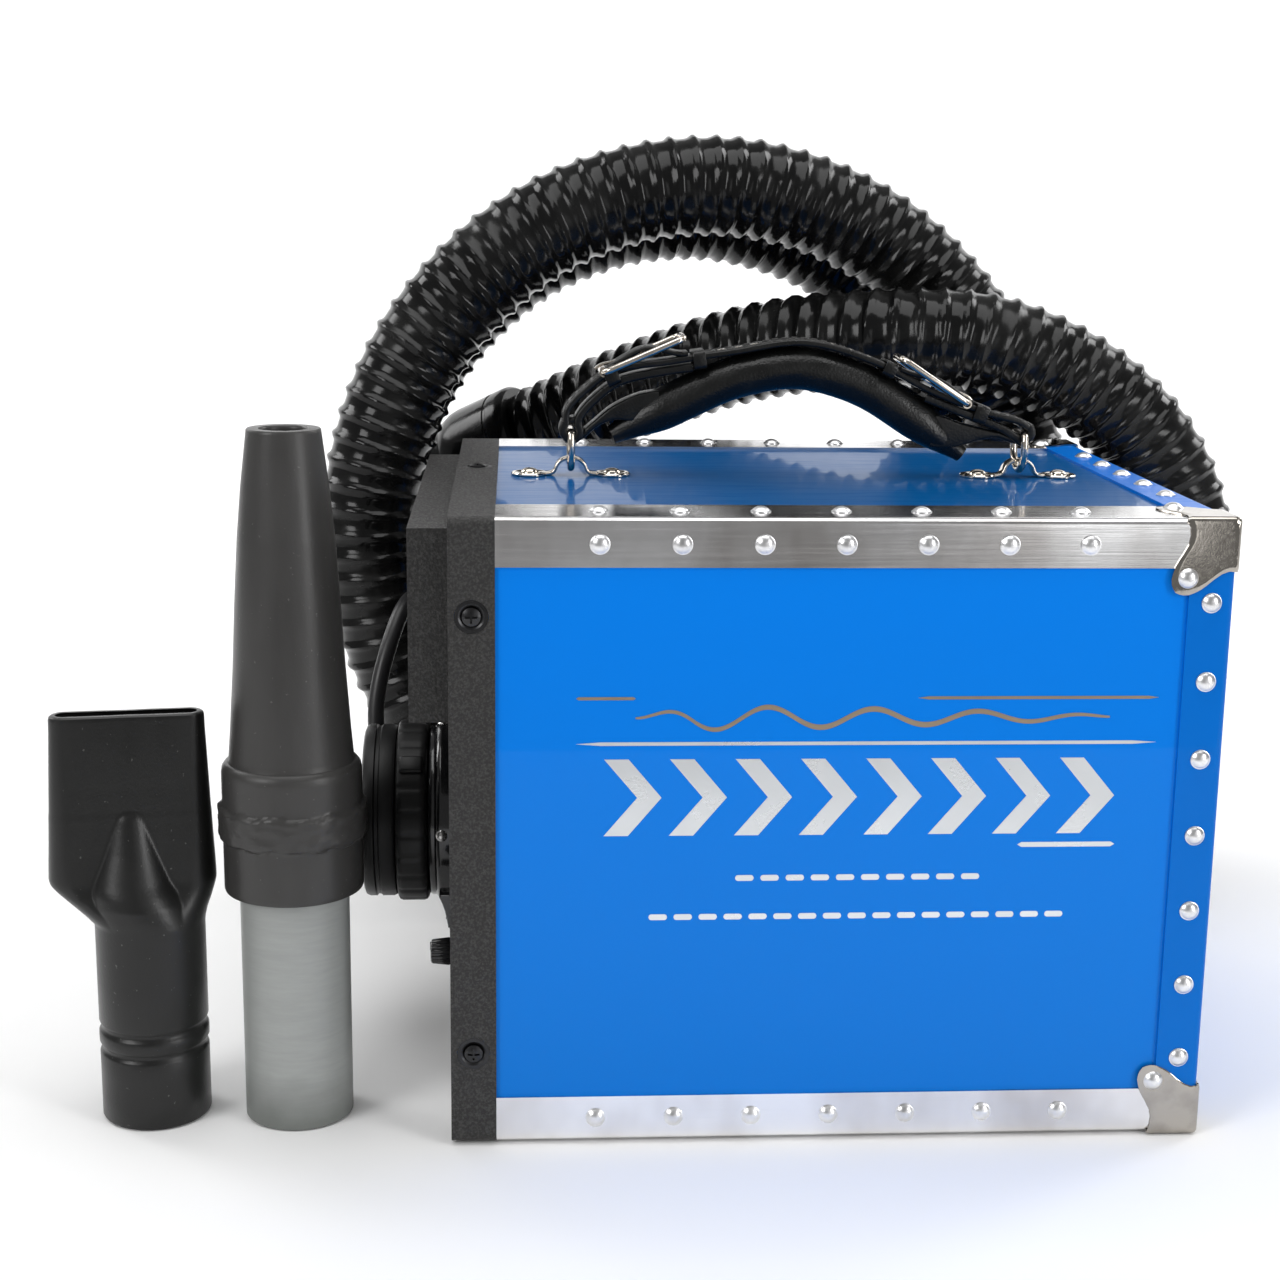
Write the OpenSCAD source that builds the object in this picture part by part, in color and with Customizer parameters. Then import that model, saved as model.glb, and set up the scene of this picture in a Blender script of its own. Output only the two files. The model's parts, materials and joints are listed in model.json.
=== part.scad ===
// Portable car dryer blower: a riveted laminate case with a fan motor inside, a strap handle,
// a corrugated air hose with two cuffs, a long cone nozzle and a flat nozzle.
// Millimetres. +X runs from the control cap towards the closed end, -Y is the front, +Z is up.
// The origin is the middle of the rubber base pad, on the surface that the case stands on.

/* [Case] */
// Width over the control cap and the end trims
body_w = 304; // [270:1:365]
// Depth from front to back
body_d = 254; // [232:1:305]
// Height of the case without its pad
body_h = 254; // [248:1:305]
// Thickness of the laminate panels
panel_t = 9; // [6:0.5:11]

/* [Edge metal] */
// Sheet thickness of the edge trims and the control cap
trim_t = 1.2; // [0.8:0.1:1.6]
// Trim flange on the front and back faces
trim_flange = 19.2; // [16:0.1:23]
// Trim flange on the top and bottom faces
trim_top_flange = 33; // [25:0.5:38]
// Flange of the end trims
end_flange = 18.2; // [15:0.1:20]
// Outside radius of the bent edges
edge_r = 3; // [1.5:0.1:4]
// Rivet head diameter
rivet_d = 8; // [6:0.1:9]
// Distance from rivet to rivet
rivet_pitch = 31.4; // [26:0.1:37]

/* [Control cap] */
// Flange of the control cap
cap_flange = 18; // [15:0.1:21]
// Height of the air filter box
filter_h = 77; // [62:1:84]
// How far the filter box stands out
filter_t = 16; // [13:0.5:20]
// Height of the outlet axis above the case's underside
outlet_h = 101; // [95:1:104]
// Outside radius of the outlet flange
outlet_r = 40; // [37:0.5:44]
// Diameter of the speed knob
knob_d = 12; // [10:0.5:14]

/* [Motor] */
// Outside radius of the fan shell
fan_r = 71; // [60:1:74]
// Motor shaft diameter
shaft_d = 8; // [6:0.5:9]
// Number of blades on each impeller
blade_count = 9; // [6:1:12]

/* [Handle] */
// Distance between the two handle brackets
bracket_span = 198; // [170:1:225]
// Rise of the grip above its ends
grip_rise = 30; // [24:1:36]
// Diameter of the padded grip
grip_d = 18; // [15:0.5:20]
// Width of the strap
strap_w = 15; // [12:0.5:15.5]

/* [Hose and nozzles] */
// Outside diameter of the corrugated hose
hose_d = 52; // [44:1:52]
// Outside radius of the nozzle tubes
tube_r = 22; // [18:0.5:22]
// Height of the long nozzle
nozzle_h = 284; // [250:1:340]
// Height of the flat nozzle
flat_h = 170; // [145:1:204]
// Width of the flat nozzle's mouth
mouth_w = 66; // [56:1:70]

/* [Power cord] */
// Diameter of the power cord
cord_d = 8; // [6.5:0.5:8]

/* [Hidden] */
$fn = 48;

x0 = -body_w / 2;
x1 = body_w / 2;
y1 = body_d / 2;
pad_drop = 1;
z0 = pad_drop;
z1 = z0 + body_h;
zm = z0 + body_h / 2;
wall = trim_t + panel_t;
in_y = y1 - wall;
in_z0 = z0 + wall;
in_z1 = z1 - wall;
strip_x0 = x0 + cap_flange;
strip_x1 = x1 - end_flange;
strip_l = strip_x1 - strip_x0;
rivet_h = 2.2;
rivet_front_z = 10.2;
rivet_top_y = 16.5;
strip_half = floor((strip_l - 60) / 2 / rivet_pitch);
height_half = floor((body_h - 60) / 2 / rivet_pitch);
depth_half = floor((body_d - 100) / 2 / rivet_pitch);
end_rivet = end_flange / 2;
corner_t = 1;
corner_lobe = [19.2, 23];
corner_lobe_r = 7.7;

screw_rise = 88.7;
top_screw_y = 20;
screw_x = x0 + cap_flange / 2;
washer_r = 6.6;

filter_y0 = -y1 + 17;
filter_y1 = y1 - 11;
filter_z1 = z1 - 7;
filter_z0 = filter_z1 - filter_h;
filter_x0 = x0 - filter_t;
filter_rim = 9;

outlet_z = z0 + outlet_h;
flange_t = 12.5;
gap = 0.3;
ring_l = 13.5;
socket_l = 14.5;
socket_r = outlet_r - 1.5;
tube_out_r = 30;
running = 0.08;
hose_bore_r = 27.2;
socket_x0 = x0 - flange_t - gap - ring_l - gap - socket_l;
socket_x1 = x0 + flange_t + 0.5;
spigot_l = 10;

control_y = -60;
switch_z = z0 + 75.5;
knob_z = z0 + 56;
gland_y = 62;
gland_z = z0 + 101;
relief_l = 22;

bulkhead_x = x0 + 100;
baffle_z = filter_z0 - 11;
shaft_r = shaft_d / 2;
fan_x0 = bulkhead_x + panel_t + 3;
fan_l = 62;

hinge_r = 10;
wire_r = 1.6;
hinge_z = z1 - trim_t + 3.4 + hinge_r;
handle_x = -3;
ring_top = 6;
strap_t = 3;
panel_top = z1 - trim_t;

long_x = -64 - body_w / 2;
long_y = -90;
flat_x = long_x - 59;
flat_y = -88;
// Bare length of the long nozzle's tube, which a cuff slides over.
grip_h = 97;
cuff_r = 30.5;
cuff_l = 40;
neck_l = 24;

hose_r = hose_d / 2;
hose_floor = hose_r + 2;
loop_r = 175.5;
loop_x = -25;
lay = hose_d + 0.5;
hose_y = y1 + hose_r + 4;

// Free strand of the hose from its first cuff, over to the right and down to the floor.
hose_strand = [[-121, 259, 239], [-60, 228, 270], [0, 196, 293], [60, 165, 303],
    [114, 157, 302], [162, 157, 284], [198, 157, 256], [220, 157, 220], [226, 157, 180],
    [218, 157, 136], [198, 157, 95], [166, 157, 62], [124, 157, 40], [76, 157, 30],
    [25, 157, 28.5]];
hose_end = [[-10, 266, 34], [-66, 268, 33]];

// Power cord from its strain relief, round the back corner and down to its coil.
cord_lead = [[-174.4, 62, 102], [-184, 62, 104], [-191, 64, 114], [-193, 67, 128],
    [-191, 72, 145], [-186, 80, 163], [-181, 92, 175], [-176, 109, 178], [-168, 126, 173],
    [-154, 138, 162], [-136, 149, 147], [-112, 157, 130], [-84, 162, 114], [-54, 163, 101],
    [-25, 162, 91]];
// Short tail from the coil to the plug.
cord_tail = [[23, 196, 88], [33, 203, 100], [27, 209, 111], [16, 210, 111.5], [6.2, 210, 111.5]];
coil_centre = [-25, 210, 82];
coil_mean_r = 48;
coil_half = 13;
plug_x1 = 6;
plug_z = 111.5;

// Middle line of the padded grip, as [along, above the hinge axis, share of the rise].
grip_line = [[-84, 4, 0], [-60, 1, 0.5], [-30, 0, 0.97], [-2, 0, 1.1], [24, 0, 0.87],
    [48, 0, 0.4], [70, -3.5, 0]];

blue = [0.04, 0.42, 0.86];
steel = [0.75, 0.76, 0.78];
black = [0.07, 0.07, 0.08];
charcoal = [0.22, 0.21, 0.2];
leather = [0.09, 0.08, 0.075];

// ---- helpers -------------------------------------------------------------------------------

function unit(v) = v / norm(v);
function clamp01(v) = max(0, min(1, v));
function curve(p, i, t) = let (
        a = p[max(i - 1, 0)], b = p[i], c = p[i + 1], d = p[min(i + 2, len(p) - 1)])
    0.5 * (2 * b + (c - a) * t + (2 * a - 5 * b + 4 * c - d) * t * t
        + (3 * b - 3 * c + d - a) * t * t * t);
function smooth(p, n) = concat(
    [for (i = [0 : len(p) - 2]) for (k = [0 : n - 1]) curve(p, i, k / n)], [p[len(p) - 1]]);
function heading(p, i) = unit(p[min(i + 1, len(p) - 1)] - p[max(i - 1, 0)]);
function ring_at(c, t, r, side, n) = let (u = unit(cross(t, side)), v = cross(u, t))
    [for (k = [0 : n - 1]) c + r * (cos(360 * k / n) * u + sin(360 * k / n) * v)];

// A round tube swept along the points p, with a radius for each point.
module swept(p, radii, side, n) {
    last = len(p) - 1;
    points = [for (i = [0 : last]) each ring_at(p[i], heading(p, i), radii[i], side, n)];
    faces = concat([[for (k = [0 : n - 1]) k]],
        [for (i = [0 : last - 1]) for (k = [0 : n - 1])
            [i * n + k, (i + 1) * n + k, (i + 1) * n + (k + 1) % n, i * n + (k + 1) % n]],
        [[for (k = [n - 1 : -1 : 0]) last * n + k]]);
    polyhedron(points, faces, convexity = 10);
}

// A box from its low corner to its high corner.
module span(a, b) {
    translate(a) cube(b - a);
}

// A cylinder along X that starts at x and is l long.
module rod_x(x, l, r, y = 0, z = 0) {
    translate([x, y, z]) rotate([0, 90, 0]) cylinder(r = r, h = l);
}

module tube_x(x, l, r, bore, y = 0, z = 0) {
    difference() {
        rod_x(x, l, r, y, z);
        rod_x(x - 1, l + 2, bore, y, z);
    }
}

// A shallow domed head on the plane z = 0.
module dome(r, h) {
    ball = (r * r + h * h) / (2 * h);
    intersection() {
        translate([0, 0, h - ball]) sphere(ball, $fn = 32);
        translate([-r, -r, 0]) cube([2 * r, 2 * r, h]);
    }
}

// A bent angle: flanges a along X and b along Y, with a rounded outside edge.
module angle_profile(a, b) {
    difference() {
        union() {
            translate([edge_r, edge_r]) circle(edge_r);
            translate([edge_r, 0]) square([a - edge_r, trim_t]);
            translate([0, edge_r]) square([trim_t, b - edge_r]);
        }
        translate([trim_t, trim_t]) square([a, b]);
    }
}

// An angle of length l along X, whose outside edge is the line y = 0, z = 0.
module angle_x(l, flange_y, flange_z) {
    rotate([90, 0, 90]) linear_extrude(l) angle_profile(flange_y, flange_z);
}

module rounded_rect(w, h, r) {
    union() {
        square([w - 2 * r, h], center = true);
        square([w, h - 2 * r], center = true);
        for (x = [-1, 1], y = [-1, 1]) translate([x * (w / 2 - r), y * (h / 2 - r)]) circle(r);
    }
}

// ---- case ----------------------------------------------------------------------------------

module screw_hole(dir) {
    rotate(dir) cylinder(r = 2, h = 60, center = true);
}

module side_wall(side) {
    difference() {
        span([x0 + trim_t, min(side * (y1 - trim_t), side * in_y), in_z0],
            [x1 - trim_t, max(side * (y1 - trim_t), side * in_y), in_z1]);
        for (z = [zm - screw_rise, zm + screw_rise])
            translate([screw_x, side * y1, z]) screw_hole([90, 0, 0]);
    }
}

module front_panel() { color(blue) side_wall(-1); }
module back_panel() { color(blue) side_wall(1); }

module top_panel() {
    color(blue) difference() {
        span([x0 + trim_t, -y1 + trim_t, in_z1], [x1 - trim_t, y1 - trim_t, z1 - trim_t]);
        translate([screw_x, top_screw_y, z1]) screw_hole([0, 0, 0]);
    }
}

module bottom_panel() {
    color(blue) span([x0 + trim_t, -y1 + trim_t, z0 + trim_t], [x1 - trim_t, y1 - trim_t, in_z0]);
}

module end_panel() {
    color(blue) span([x1 - wall, -in_y, in_z0], [x1 - trim_t, in_y, in_z1]);
}

module base_pad() {
    edge = y1 - trim_top_flange - 1;
    color(black) span([strip_x0 + 1, -edge, 0], [strip_x1 - 1, edge, z0 + trim_t]);
}

module edge_strip(side, upper) {
    color(steel) translate([strip_x0, side * y1, upper ? z1 : z0])
        mirror([0, side > 0 ? 1 : 0, 0]) mirror([0, 0, upper ? 1 : 0])
        angle_x(strip_l, trim_top_flange, trim_flange);
}

module trim_top_front() { edge_strip(-1, true); }
module trim_top_back() { edge_strip(1, true); }
module trim_bottom_front() { edge_strip(-1, false); }
module trim_bottom_back() { edge_strip(1, false); }

// Upper or lower end trim: its end flange stops short of the upright trims.
module end_trim_flat(upper) {
    color(blue) translate([x1, 0, upper ? z1 : z0]) mirror([0, 0, upper ? 1 : 0])
        difference() {
            translate([0, y1, 0]) rotate([90, 0, 0]) mirror([1, 0, 0])
                linear_extrude(body_d) angle_profile(end_flange, end_flange);
            for (side = [-1, 1]) translate([-edge_r - 2, side * y1 - end_flange, trim_t])
                cube([edge_r + 4, 2 * end_flange, body_h]);
        }
}

// Upright end trim on the front or the back edge.
module end_trim_upright(side) {
    color(blue) translate([x1, side * y1, z0 + trim_t]) mirror([0, side > 0 ? 1 : 0, 0])
        mirror([1, 0, 0]) linear_extrude(body_h - 2 * trim_t)
        angle_profile(end_flange, end_flange);
}

module end_trim_top() { end_trim_flat(true); }
module end_trim_bottom() { end_trim_flat(false); }
module end_trim_front() { end_trim_upright(-1); }
module end_trim_back() { end_trim_upright(1); }

// One face of a pressed corner, with its lobe; the corner is at the origin.
module corner_face(u, v) {
    lobe = [u, v];
    side = corner_lobe_r * unit([-v, u]);
    union() {
        translate([-corner_t, -corner_t]) square([u, v - 1] + [corner_t, corner_t]);
        polygon([[2, v - 10], [u - 8, 2], lobe - side, lobe + side]);
        translate(lobe) circle(corner_lobe_r);
    }
}

module corner_protectors() {
    color("silver") for (side = [-1, 1], up = [0, 1])
        translate([x1, side * y1, up == 1 ? z1 : z0])
        mirror([0, side > 0 ? 1 : 0, 0]) mirror([0, 0, up]) corner_shell();
}

// Three plates that wrap one corner; z grows away from the corner.
module corner_shell() {
    u = corner_lobe[0];
    v = corner_lobe[1];
    translate([0, 0, -corner_t]) linear_extrude(corner_t) mirror([1, 0]) corner_face(u, v);
    rotate([90, 0, 0]) linear_extrude(corner_t) mirror([1, 0]) corner_face(u, v);
    rotate([90, 0, 90]) linear_extrude(corner_t) corner_face(u, v);
}

module corner_rivets() {
    u = corner_lobe[0];
    v = corner_lobe[1];
    color("silver") for (side = [-1, 1], up = [0, 1])
        translate([x1, side * y1, up == 1 ? z1 : z0])
        mirror([0, side > 0 ? 1 : 0, 0]) mirror([0, 0, up]) {
            translate([-u, -corner_t, v]) rotate([90, 0, 0]) dome(rivet_d / 2, rivet_h);
            translate([corner_t, u, v]) rotate([0, 90, 0]) dome(rivet_d / 2, rivet_h);
            if (up == 1) translate([-u, v, -corner_t]) rotate([180, 0, 0])
                dome(rivet_d / 2, rivet_h);
        }
}

// Rivet heads on a face whose outward side is +Z of the local frame.
module rivet_row(half, step) {
    for (i = [-half : half]) translate(i * step) dome(rivet_d / 2, rivet_h);
}

module trim_rivets() {
    mid = (strip_x0 + strip_x1) / 2;
    color(steel) for (side = [-1, 1]) {
        for (z = [z0 + rivet_front_z, z1 - rivet_front_z])
            translate([mid, side * y1, z]) rotate([side * -90, 0, 0])
                rivet_row(strip_half, [rivet_pitch, 0, 0]);
        translate([mid, side * (y1 - rivet_top_y), z1])
            rivet_row(strip_half, [rivet_pitch, 0, 0]);
    }
}

module end_trim_rivets() {
    color(blue) {
        for (side = [-1, 1]) {
            translate([x1 - end_rivet, side * y1, zm]) rotate([side * -90, 0, 0])
                rivet_row(height_half, [0, rivet_pitch, 0]);
            translate([x1, side * (y1 - end_rivet), zm]) rotate([0, 90, 0])
                rivet_row(height_half, [rivet_pitch, 0, 0]);
            translate([x1, 0, zm + side * (body_h / 2 - end_rivet)]) rotate([0, 90, 0])
                rivet_row(depth_half, [0, rivet_pitch, 0]);
        }
        translate([x1 - end_rivet, 0, z1]) rivet_row(depth_half, [0, rivet_pitch, 0]);
    }
}

// ---- control cap and what it carries ---------------------------------------------------------

module control_cap() {
    color(charcoal) difference() {
        translate([x0, 0, zm]) rotate([90, 0, 90]) linear_extrude(cap_flange)
            rounded_rect(body_d, body_h, edge_r);
        span([x0 + trim_t, -y1 + trim_t, z0 + trim_t], [x0 + 60, y1 - trim_t, z1 - trim_t]);
        for (z = [zm - screw_rise, zm + screw_rise])
            translate([screw_x, 0, z]) rotate([90, 0, 0])
                cylinder(r = washer_r, h = 2 * body_d, center = true);
        translate([screw_x, top_screw_y, z1]) cylinder(r = washer_r, h = 20, center = true);
        span([x0 - 1, filter_y0 + filter_rim, filter_z0 + filter_rim],
            [x0 + 2, filter_y1 - filter_rim, filter_z1 - filter_rim]);
        rod_x(x0 - 1, 4, 34, 0, outlet_z);
        span([x0 - 1, control_y - 6.6, switch_z - 9.6], [x0 + 2, control_y + 6.6, switch_z + 9.6]);
        rod_x(x0 - 1, 4, 3.6, control_y, knob_z);
        rod_x(x0 - 1, 4, 8, gland_y, gland_z);
    }
}

// An oval-head screw with its dished washer; the flange's outside is z = 0 and +Z is outwards.
module cap_screw() {
    translate([0, 0, -trim_t]) difference() {
        cylinder(r = washer_r - 0.1, h = trim_t);
        translate([0, 0, 0.4]) cylinder(r1 = 3.6, r2 = 5.8, h = trim_t);
    }
    difference() {
        translate([0, 0, -trim_t + 0.4]) intersection() {
            cylinder(r = 3.6, h = 4);
            translate([0, 0, -5.2]) sphere(7.2);
        }
        for (a = [0, 90]) rotate(a) translate([-2.4, -0.4, -0.2]) cube([4.8, 0.8, 3]);
    }
    translate([0, 0, -trim_t - 14]) cylinder(r = 1.9, h = 14);
}

module cap_screws() {
    color("silver") {
        for (side = [-1, 1], z = [zm - screw_rise, zm + screw_rise])
            translate([screw_x, side * y1, z]) rotate([side * -90, 0, 0]) cap_screw();
        translate([screw_x, top_screw_y, z1]) cap_screw();
    }
}

module filter_frame() {
    screw_ys = [filter_y0 + 12, filter_y1 - 12];
    color(charcoal) difference() {
        span([filter_x0, filter_y0, filter_z0], [x0, filter_y1, filter_z1]);
        span([filter_x0 + 3.2, filter_y0 + 3, filter_z0 + 3],
            [x0 + 1, filter_y1 - 3, filter_z1 - 3]);
        span([filter_x0 - 1, filter_y0 + filter_rim, filter_z0 + filter_rim],
            [x0, filter_y1 - filter_rim, filter_z1 - filter_rim]);
        for (y = screw_ys) translate([x0 - filter_t / 2, y, filter_z0 - 1])
            cylinder(r = 1.6, h = 5);
    }
}

module filter_foam() {
    color([0.12, 0.12, 0.12]) span([filter_x0 + 6, filter_y0 + 3.3, filter_z0 + 4.5],
        [x0 - 0.3, filter_y1 - 3.3, filter_z1 - 3.3]);
}

module filter_grille() {
    slots = floor((filter_y1 - filter_y0 - 2 * filter_rim) / 10);
    color(black) difference() {
        span([filter_x0 + 3.4, filter_y0 + 3.3, filter_z0 + 4.5],
            [filter_x0 + 5.6, filter_y1 - 3.3, filter_z1 - 3.3]);
        for (i = [0 : slots - 1])
            translate([filter_x0, (filter_y0 + filter_y1) / 2 + (i - (slots - 1) / 2) * 10 - 3,
                filter_z0 + filter_rim + 2]) cube([10, 6, filter_h - 2 * filter_rim - 4]);
    }
}

module filter_screws() {
    color("silver") for (y = [filter_y0 + 12, filter_y1 - 12])
        translate([x0 - filter_t / 2, y, filter_z0]) rotate([180, 0, 0]) {
            dome(3.2, 2.4);
            translate([0, 0, -3.5]) cylinder(r = 1.5, h = 3.6);
        }
}

module outlet_flange() {
    color(black) difference() {
        union() {
            rod_x(x0 - flange_t, flange_t, outlet_r, 0, outlet_z);
            rod_x(x0, spigot_l, 33.8, 0, outlet_z);
        }
        rod_x(x0 - 30, 60, tube_out_r + running, 0, outlet_z);
        for (a = [0 : 90 : 270]) translate([x0 - flange_t / 2, 0, outlet_z]) rotate([a, 0, 0])
            translate([0, 0, outlet_r - 5]) cylinder(r = 1.6, h = 8);
    }
}

module flange_screws() {
    color("silver") for (a = [0 : 90 : 270])
        translate([x0 - flange_t / 2, 0, outlet_z]) rotate([a, 0, 0])
        translate([0, 0, outlet_r - 4.5]) {
            cylinder(r = 1.5, h = 4.8);
            translate([0, 0, 4.6]) dome(2.6, 1.3);
        }
}

module locking_ring() {
    start = x0 - flange_t - gap - ring_l;
    color(charcoal) difference() {
        union() {
            rod_x(start, ring_l, outlet_r + 0.4, 0, outlet_z);
            for (a = [45, 225]) translate([start, 0, outlet_z]) rotate([a, 0, 0])
                translate([1.5, -4, outlet_r - 2]) cube([ring_l - 3, 8, 4.4]);
        }
        rod_x(start - 1, ring_l + 2, tube_out_r + running, 0, outlet_z);
        for (a = [0 : 15 : 345]) translate([start, 0, outlet_z]) rotate([a + 7.5, 0, 0])
            translate([-1, 0, outlet_r + 1.2]) rotate([0, 90, 0])
            cylinder(r = 1.6, h = ring_l + 2, $fn = 16);
    }
}

module hose_socket() {
    color(charcoal) difference() {
        union() {
            rod_x(socket_x0, socket_l, socket_r, 0, outlet_z);
            rod_x(socket_x0, socket_x1 - socket_x0, tube_out_r, 0, outlet_z);
            rod_x(x0 + spigot_l + gap, 2, tube_out_r + 3, 0, outlet_z);
        }
        rod_x(socket_x0 - 1, 90, hose_bore_r, 0, outlet_z);
    }
}

module switch_body() {
    color(black) difference() {
        union() {
            span([x0 - 2, control_y - 8, switch_z - 10.5], [x0, control_y + 8, switch_z + 10.5]);
            span([x0 - 0.5, control_y - 6.4, switch_z - 9.4],
                [x0 + 20, control_y + 6.4, switch_z + 9.4]);
        }
        span([x0 - 3, control_y - 5.6, switch_z - 8.4], [x0 + 6, control_y + 5.6, switch_z + 8.4]);
        rocker_pin(0.78, 7.3);
    }
}

// The rocker's pivot: a pin along Y whose ends turn in the switch's bezel.
module rocker_pin(r, half) {
    translate([x0 - 1, control_y + half, switch_z]) rotate([90, 0, 0])
        cylinder(r = r, h = 2 * half);
}

module switch_rocker() {
    color(black) union() {
        translate([x0 - 1, control_y + 5.2, switch_z]) rotate([90, 0, 0]) linear_extrude(10.4)
            polygon([[3, -7.5], [-1.6, -7.3], [-3.2, 0], [-5.8, 7.1], [3, 7.5]]);
        rocker_pin(0.7, 7);
    }
}

module speed_control() {
    color(steel) difference() {
        union() {
            rod_x(x0 + trim_t + 0.2, 12, 9, control_y, knob_z);
            rod_x(x0 - 1.6, 6, 3.5, control_y, knob_z);
        }
        rod_x(x0 - 3, 10, 2.5 + running, control_y, knob_z);
    }
}

module speed_knob() {
    knob_r = knob_d / 2;
    color(black) union() {
        translate([x0 - 2, control_y, knob_z]) rotate([0, -90, 0])
            cylinder(r1 = knob_r, r2 = knob_r - 0.8, h = 8.4);
        rod_x(x0 - 3, 9.5, 2.5, control_y, knob_z);
    }
}

module strain_relief() {
    color(black) union() {
        rod_x(x0 - 4, 4, 9.5, gland_y, gland_z);
        rod_x(x0 - 1, 13, 7.8, gland_y, gland_z);
        rod_x(x0 + trim_t + 0.2, 4, 10.5, gland_y, gland_z);
        translate([x0, gland_y, gland_z]) rotate([0, -90, 0])
            cylinder(r1 = 7, r2 = cord_d / 2 + 1.2, h = relief_l);
    }
}

// ---- inside ----------------------------------------------------------------------------------

module bulkhead() {
    color([0.75, 0.62, 0.45]) difference() {
        span([bulkhead_x, -in_y, in_z0], [bulkhead_x + panel_t, in_y, in_z1]);
        rod_x(bulkhead_x - 1, panel_t + 2, 52, 0, outlet_z);
        span([bulkhead_x - 1, -in_y + 27, baffle_z + 18],
            [bulkhead_x + panel_t + 1, in_y - 27, in_z1 - 8]);
    }
}

module baffle() {
    color([0.75, 0.62, 0.45])
        span([x0 + trim_t + 0.2, -in_y, baffle_z], [bulkhead_x, in_y, baffle_z + 6]);
}

module motor_gasket() {
    color(black) tube_x(bulkhead_x + panel_t, 3, fan_r, 53, 0, outlet_z);
}

module fan_shell() {
    color(steel) difference() {
        rod_x(fan_x0, fan_l, fan_r, 0, outlet_z);
        rod_x(fan_x0 + 1.5, fan_l - 3, fan_r - 1.5, 0, outlet_z);
        rod_x(fan_x0 - 1, 4, 46, 0, outlet_z);
        rod_x(fan_x0 + fan_l - 3, 4, 24, 0, outlet_z);
    }
}

module fan_diffuser() {
    color(steel) tube_x(fan_x0 + fan_l / 2, 1.5, fan_r - 1.55, 16, 0, outlet_z);
}

module motor_frame() {
    near = bulkhead_x;
    far = x0 + 21;
    color(steel) difference() {
        union() {
            tube_x(near - 3, 3, 56, 46, 0, outlet_z);
            for (a = [0 : 90 : 270]) translate([0, 0, outlet_z]) rotate([a, 0, 0]) {
                span([far, -6, 46], [near - 3, 6, 50]);
                span([far, -6, 8], [far + 3, 6, 50]);
                span([near - 6, -6, 8], [near - 3, 6, 50]);
            }
            rod_x(far, 10, 14, 0, outlet_z);
            rod_x(near - 13, 10, 14, 0, outlet_z);
        }
        rod_x(far - 1, 12, 9.02, 0, outlet_z);
        rod_x(near - 14, 12, 9.02, 0, outlet_z);
    }
}

module stator_core() {
    color([0.35, 0.36, 0.38]) tube_x(bulkhead_x - 52, 32, 45.5, 24, 0, outlet_z);
}

module stator_windings() {
    color([0.72, 0.4, 0.2]) for (x = [bulkhead_x - 60, bulkhead_x - 20])
        tube_x(x, 8, 40, 27, 0, outlet_z);
}

module bearings() {
    color(steel) for (x = [x0 + 22, bulkhead_x - 12])
        tube_x(x, 7, 9, shaft_r + 0.05, 0, outlet_z);
}

module carbon_brushes() {
    color([0.8, 0.62, 0.3]) for (side = [-1, 1])
        translate([x0 + 32.5, side > 0 ? 13.4 : -46, outlet_z - 3]) cube([6, 32.6, 6]);
}

module motor_shaft() {
    color(steel) rod_x(x0 + 21.5, bulkhead_x + panel_t + 3 + fan_l - 8 - x0 - 21.5,
        shaft_r, 0, outlet_z);
}

module armature() {
    hub = shaft_r + 0.02;
    color([0.55, 0.34, 0.2]) difference() {
        union() {
            rod_x(bulkhead_x - 51, 30, 23, 0, outlet_z);
            rod_x(bulkhead_x - 59, 45, 19, 0, outlet_z);
            rod_x(x0 + 31.5, 10, 13, 0, outlet_z);
        }
        rod_x(x0, 200, hub, 0, outlet_z);
    }
}

// One closed impeller: back plate, shroud with an eye, blades and hub.
module impeller(x) {
    r = fan_r - 7;
    width = 18;
    difference() {
        union() {
            rod_x(x, 1.4, r, 0, outlet_z);
            tube_x(x + width - 1.2, 1.2, r, 22, 0, outlet_z);
            rod_x(x, width - 1, 9, 0, outlet_z);
            for (i = [0 : blade_count - 1]) translate([x, 0, outlet_z])
                rotate([i * 360 / blade_count, 0, 0]) translate([0.5, 10, 0])
                rotate([35, 0, 0]) translate([0, -0.6, 8]) cube([width - 1, 1.2, r - 22]);
        }
        rod_x(x - 1, width + 2, shaft_r + 0.02, 0, outlet_z);
    }
}

module impellers() {
    color("silver") for (x = [fan_x0 + 5, fan_x0 + fan_l / 2 + 6]) impeller(x);
}

// ---- handle ----------------------------------------------------------------------------------

function bracket_xs() = [handle_x - bracket_span / 2, handle_x + bracket_span / 2];

module bracket() {
    difference() {
        union() {
            for (x = [-18, 18]) translate([x, 0, 0]) cylinder(r = 8, h = 1.4);
            translate([-18, -4, 0]) cube([36, 8, 1.4]);
            translate([0, 3.5, 1]) rotate([90, 0, 0]) cylinder(r = 6.6, h = 7);
        }
        translate([0, 12, 1]) rotate([90, 0, 0]) cylinder(r = 5.2, h = 24);
        translate([-5.2, -12, -3]) cube([10.4, 24, 4]);
        translate([-12, -12, -12]) cube([24, 24, 12]);
    }
}

module handle_brackets() {
    color("silver") for (x = bracket_xs()) translate([x, 0, panel_top]) bracket();
}

module bracket_rivets() {
    color("silver") for (x = bracket_xs(), e = [-18, 18])
        translate([x + e, 0, panel_top + 1.4]) dome(3.4, 1.8);
}

function grip_point(g) = [handle_x + 3 + g[0] * bracket_span / 198, 0,
    hinge_z + g[1] + g[2] * grip_rise];

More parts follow.
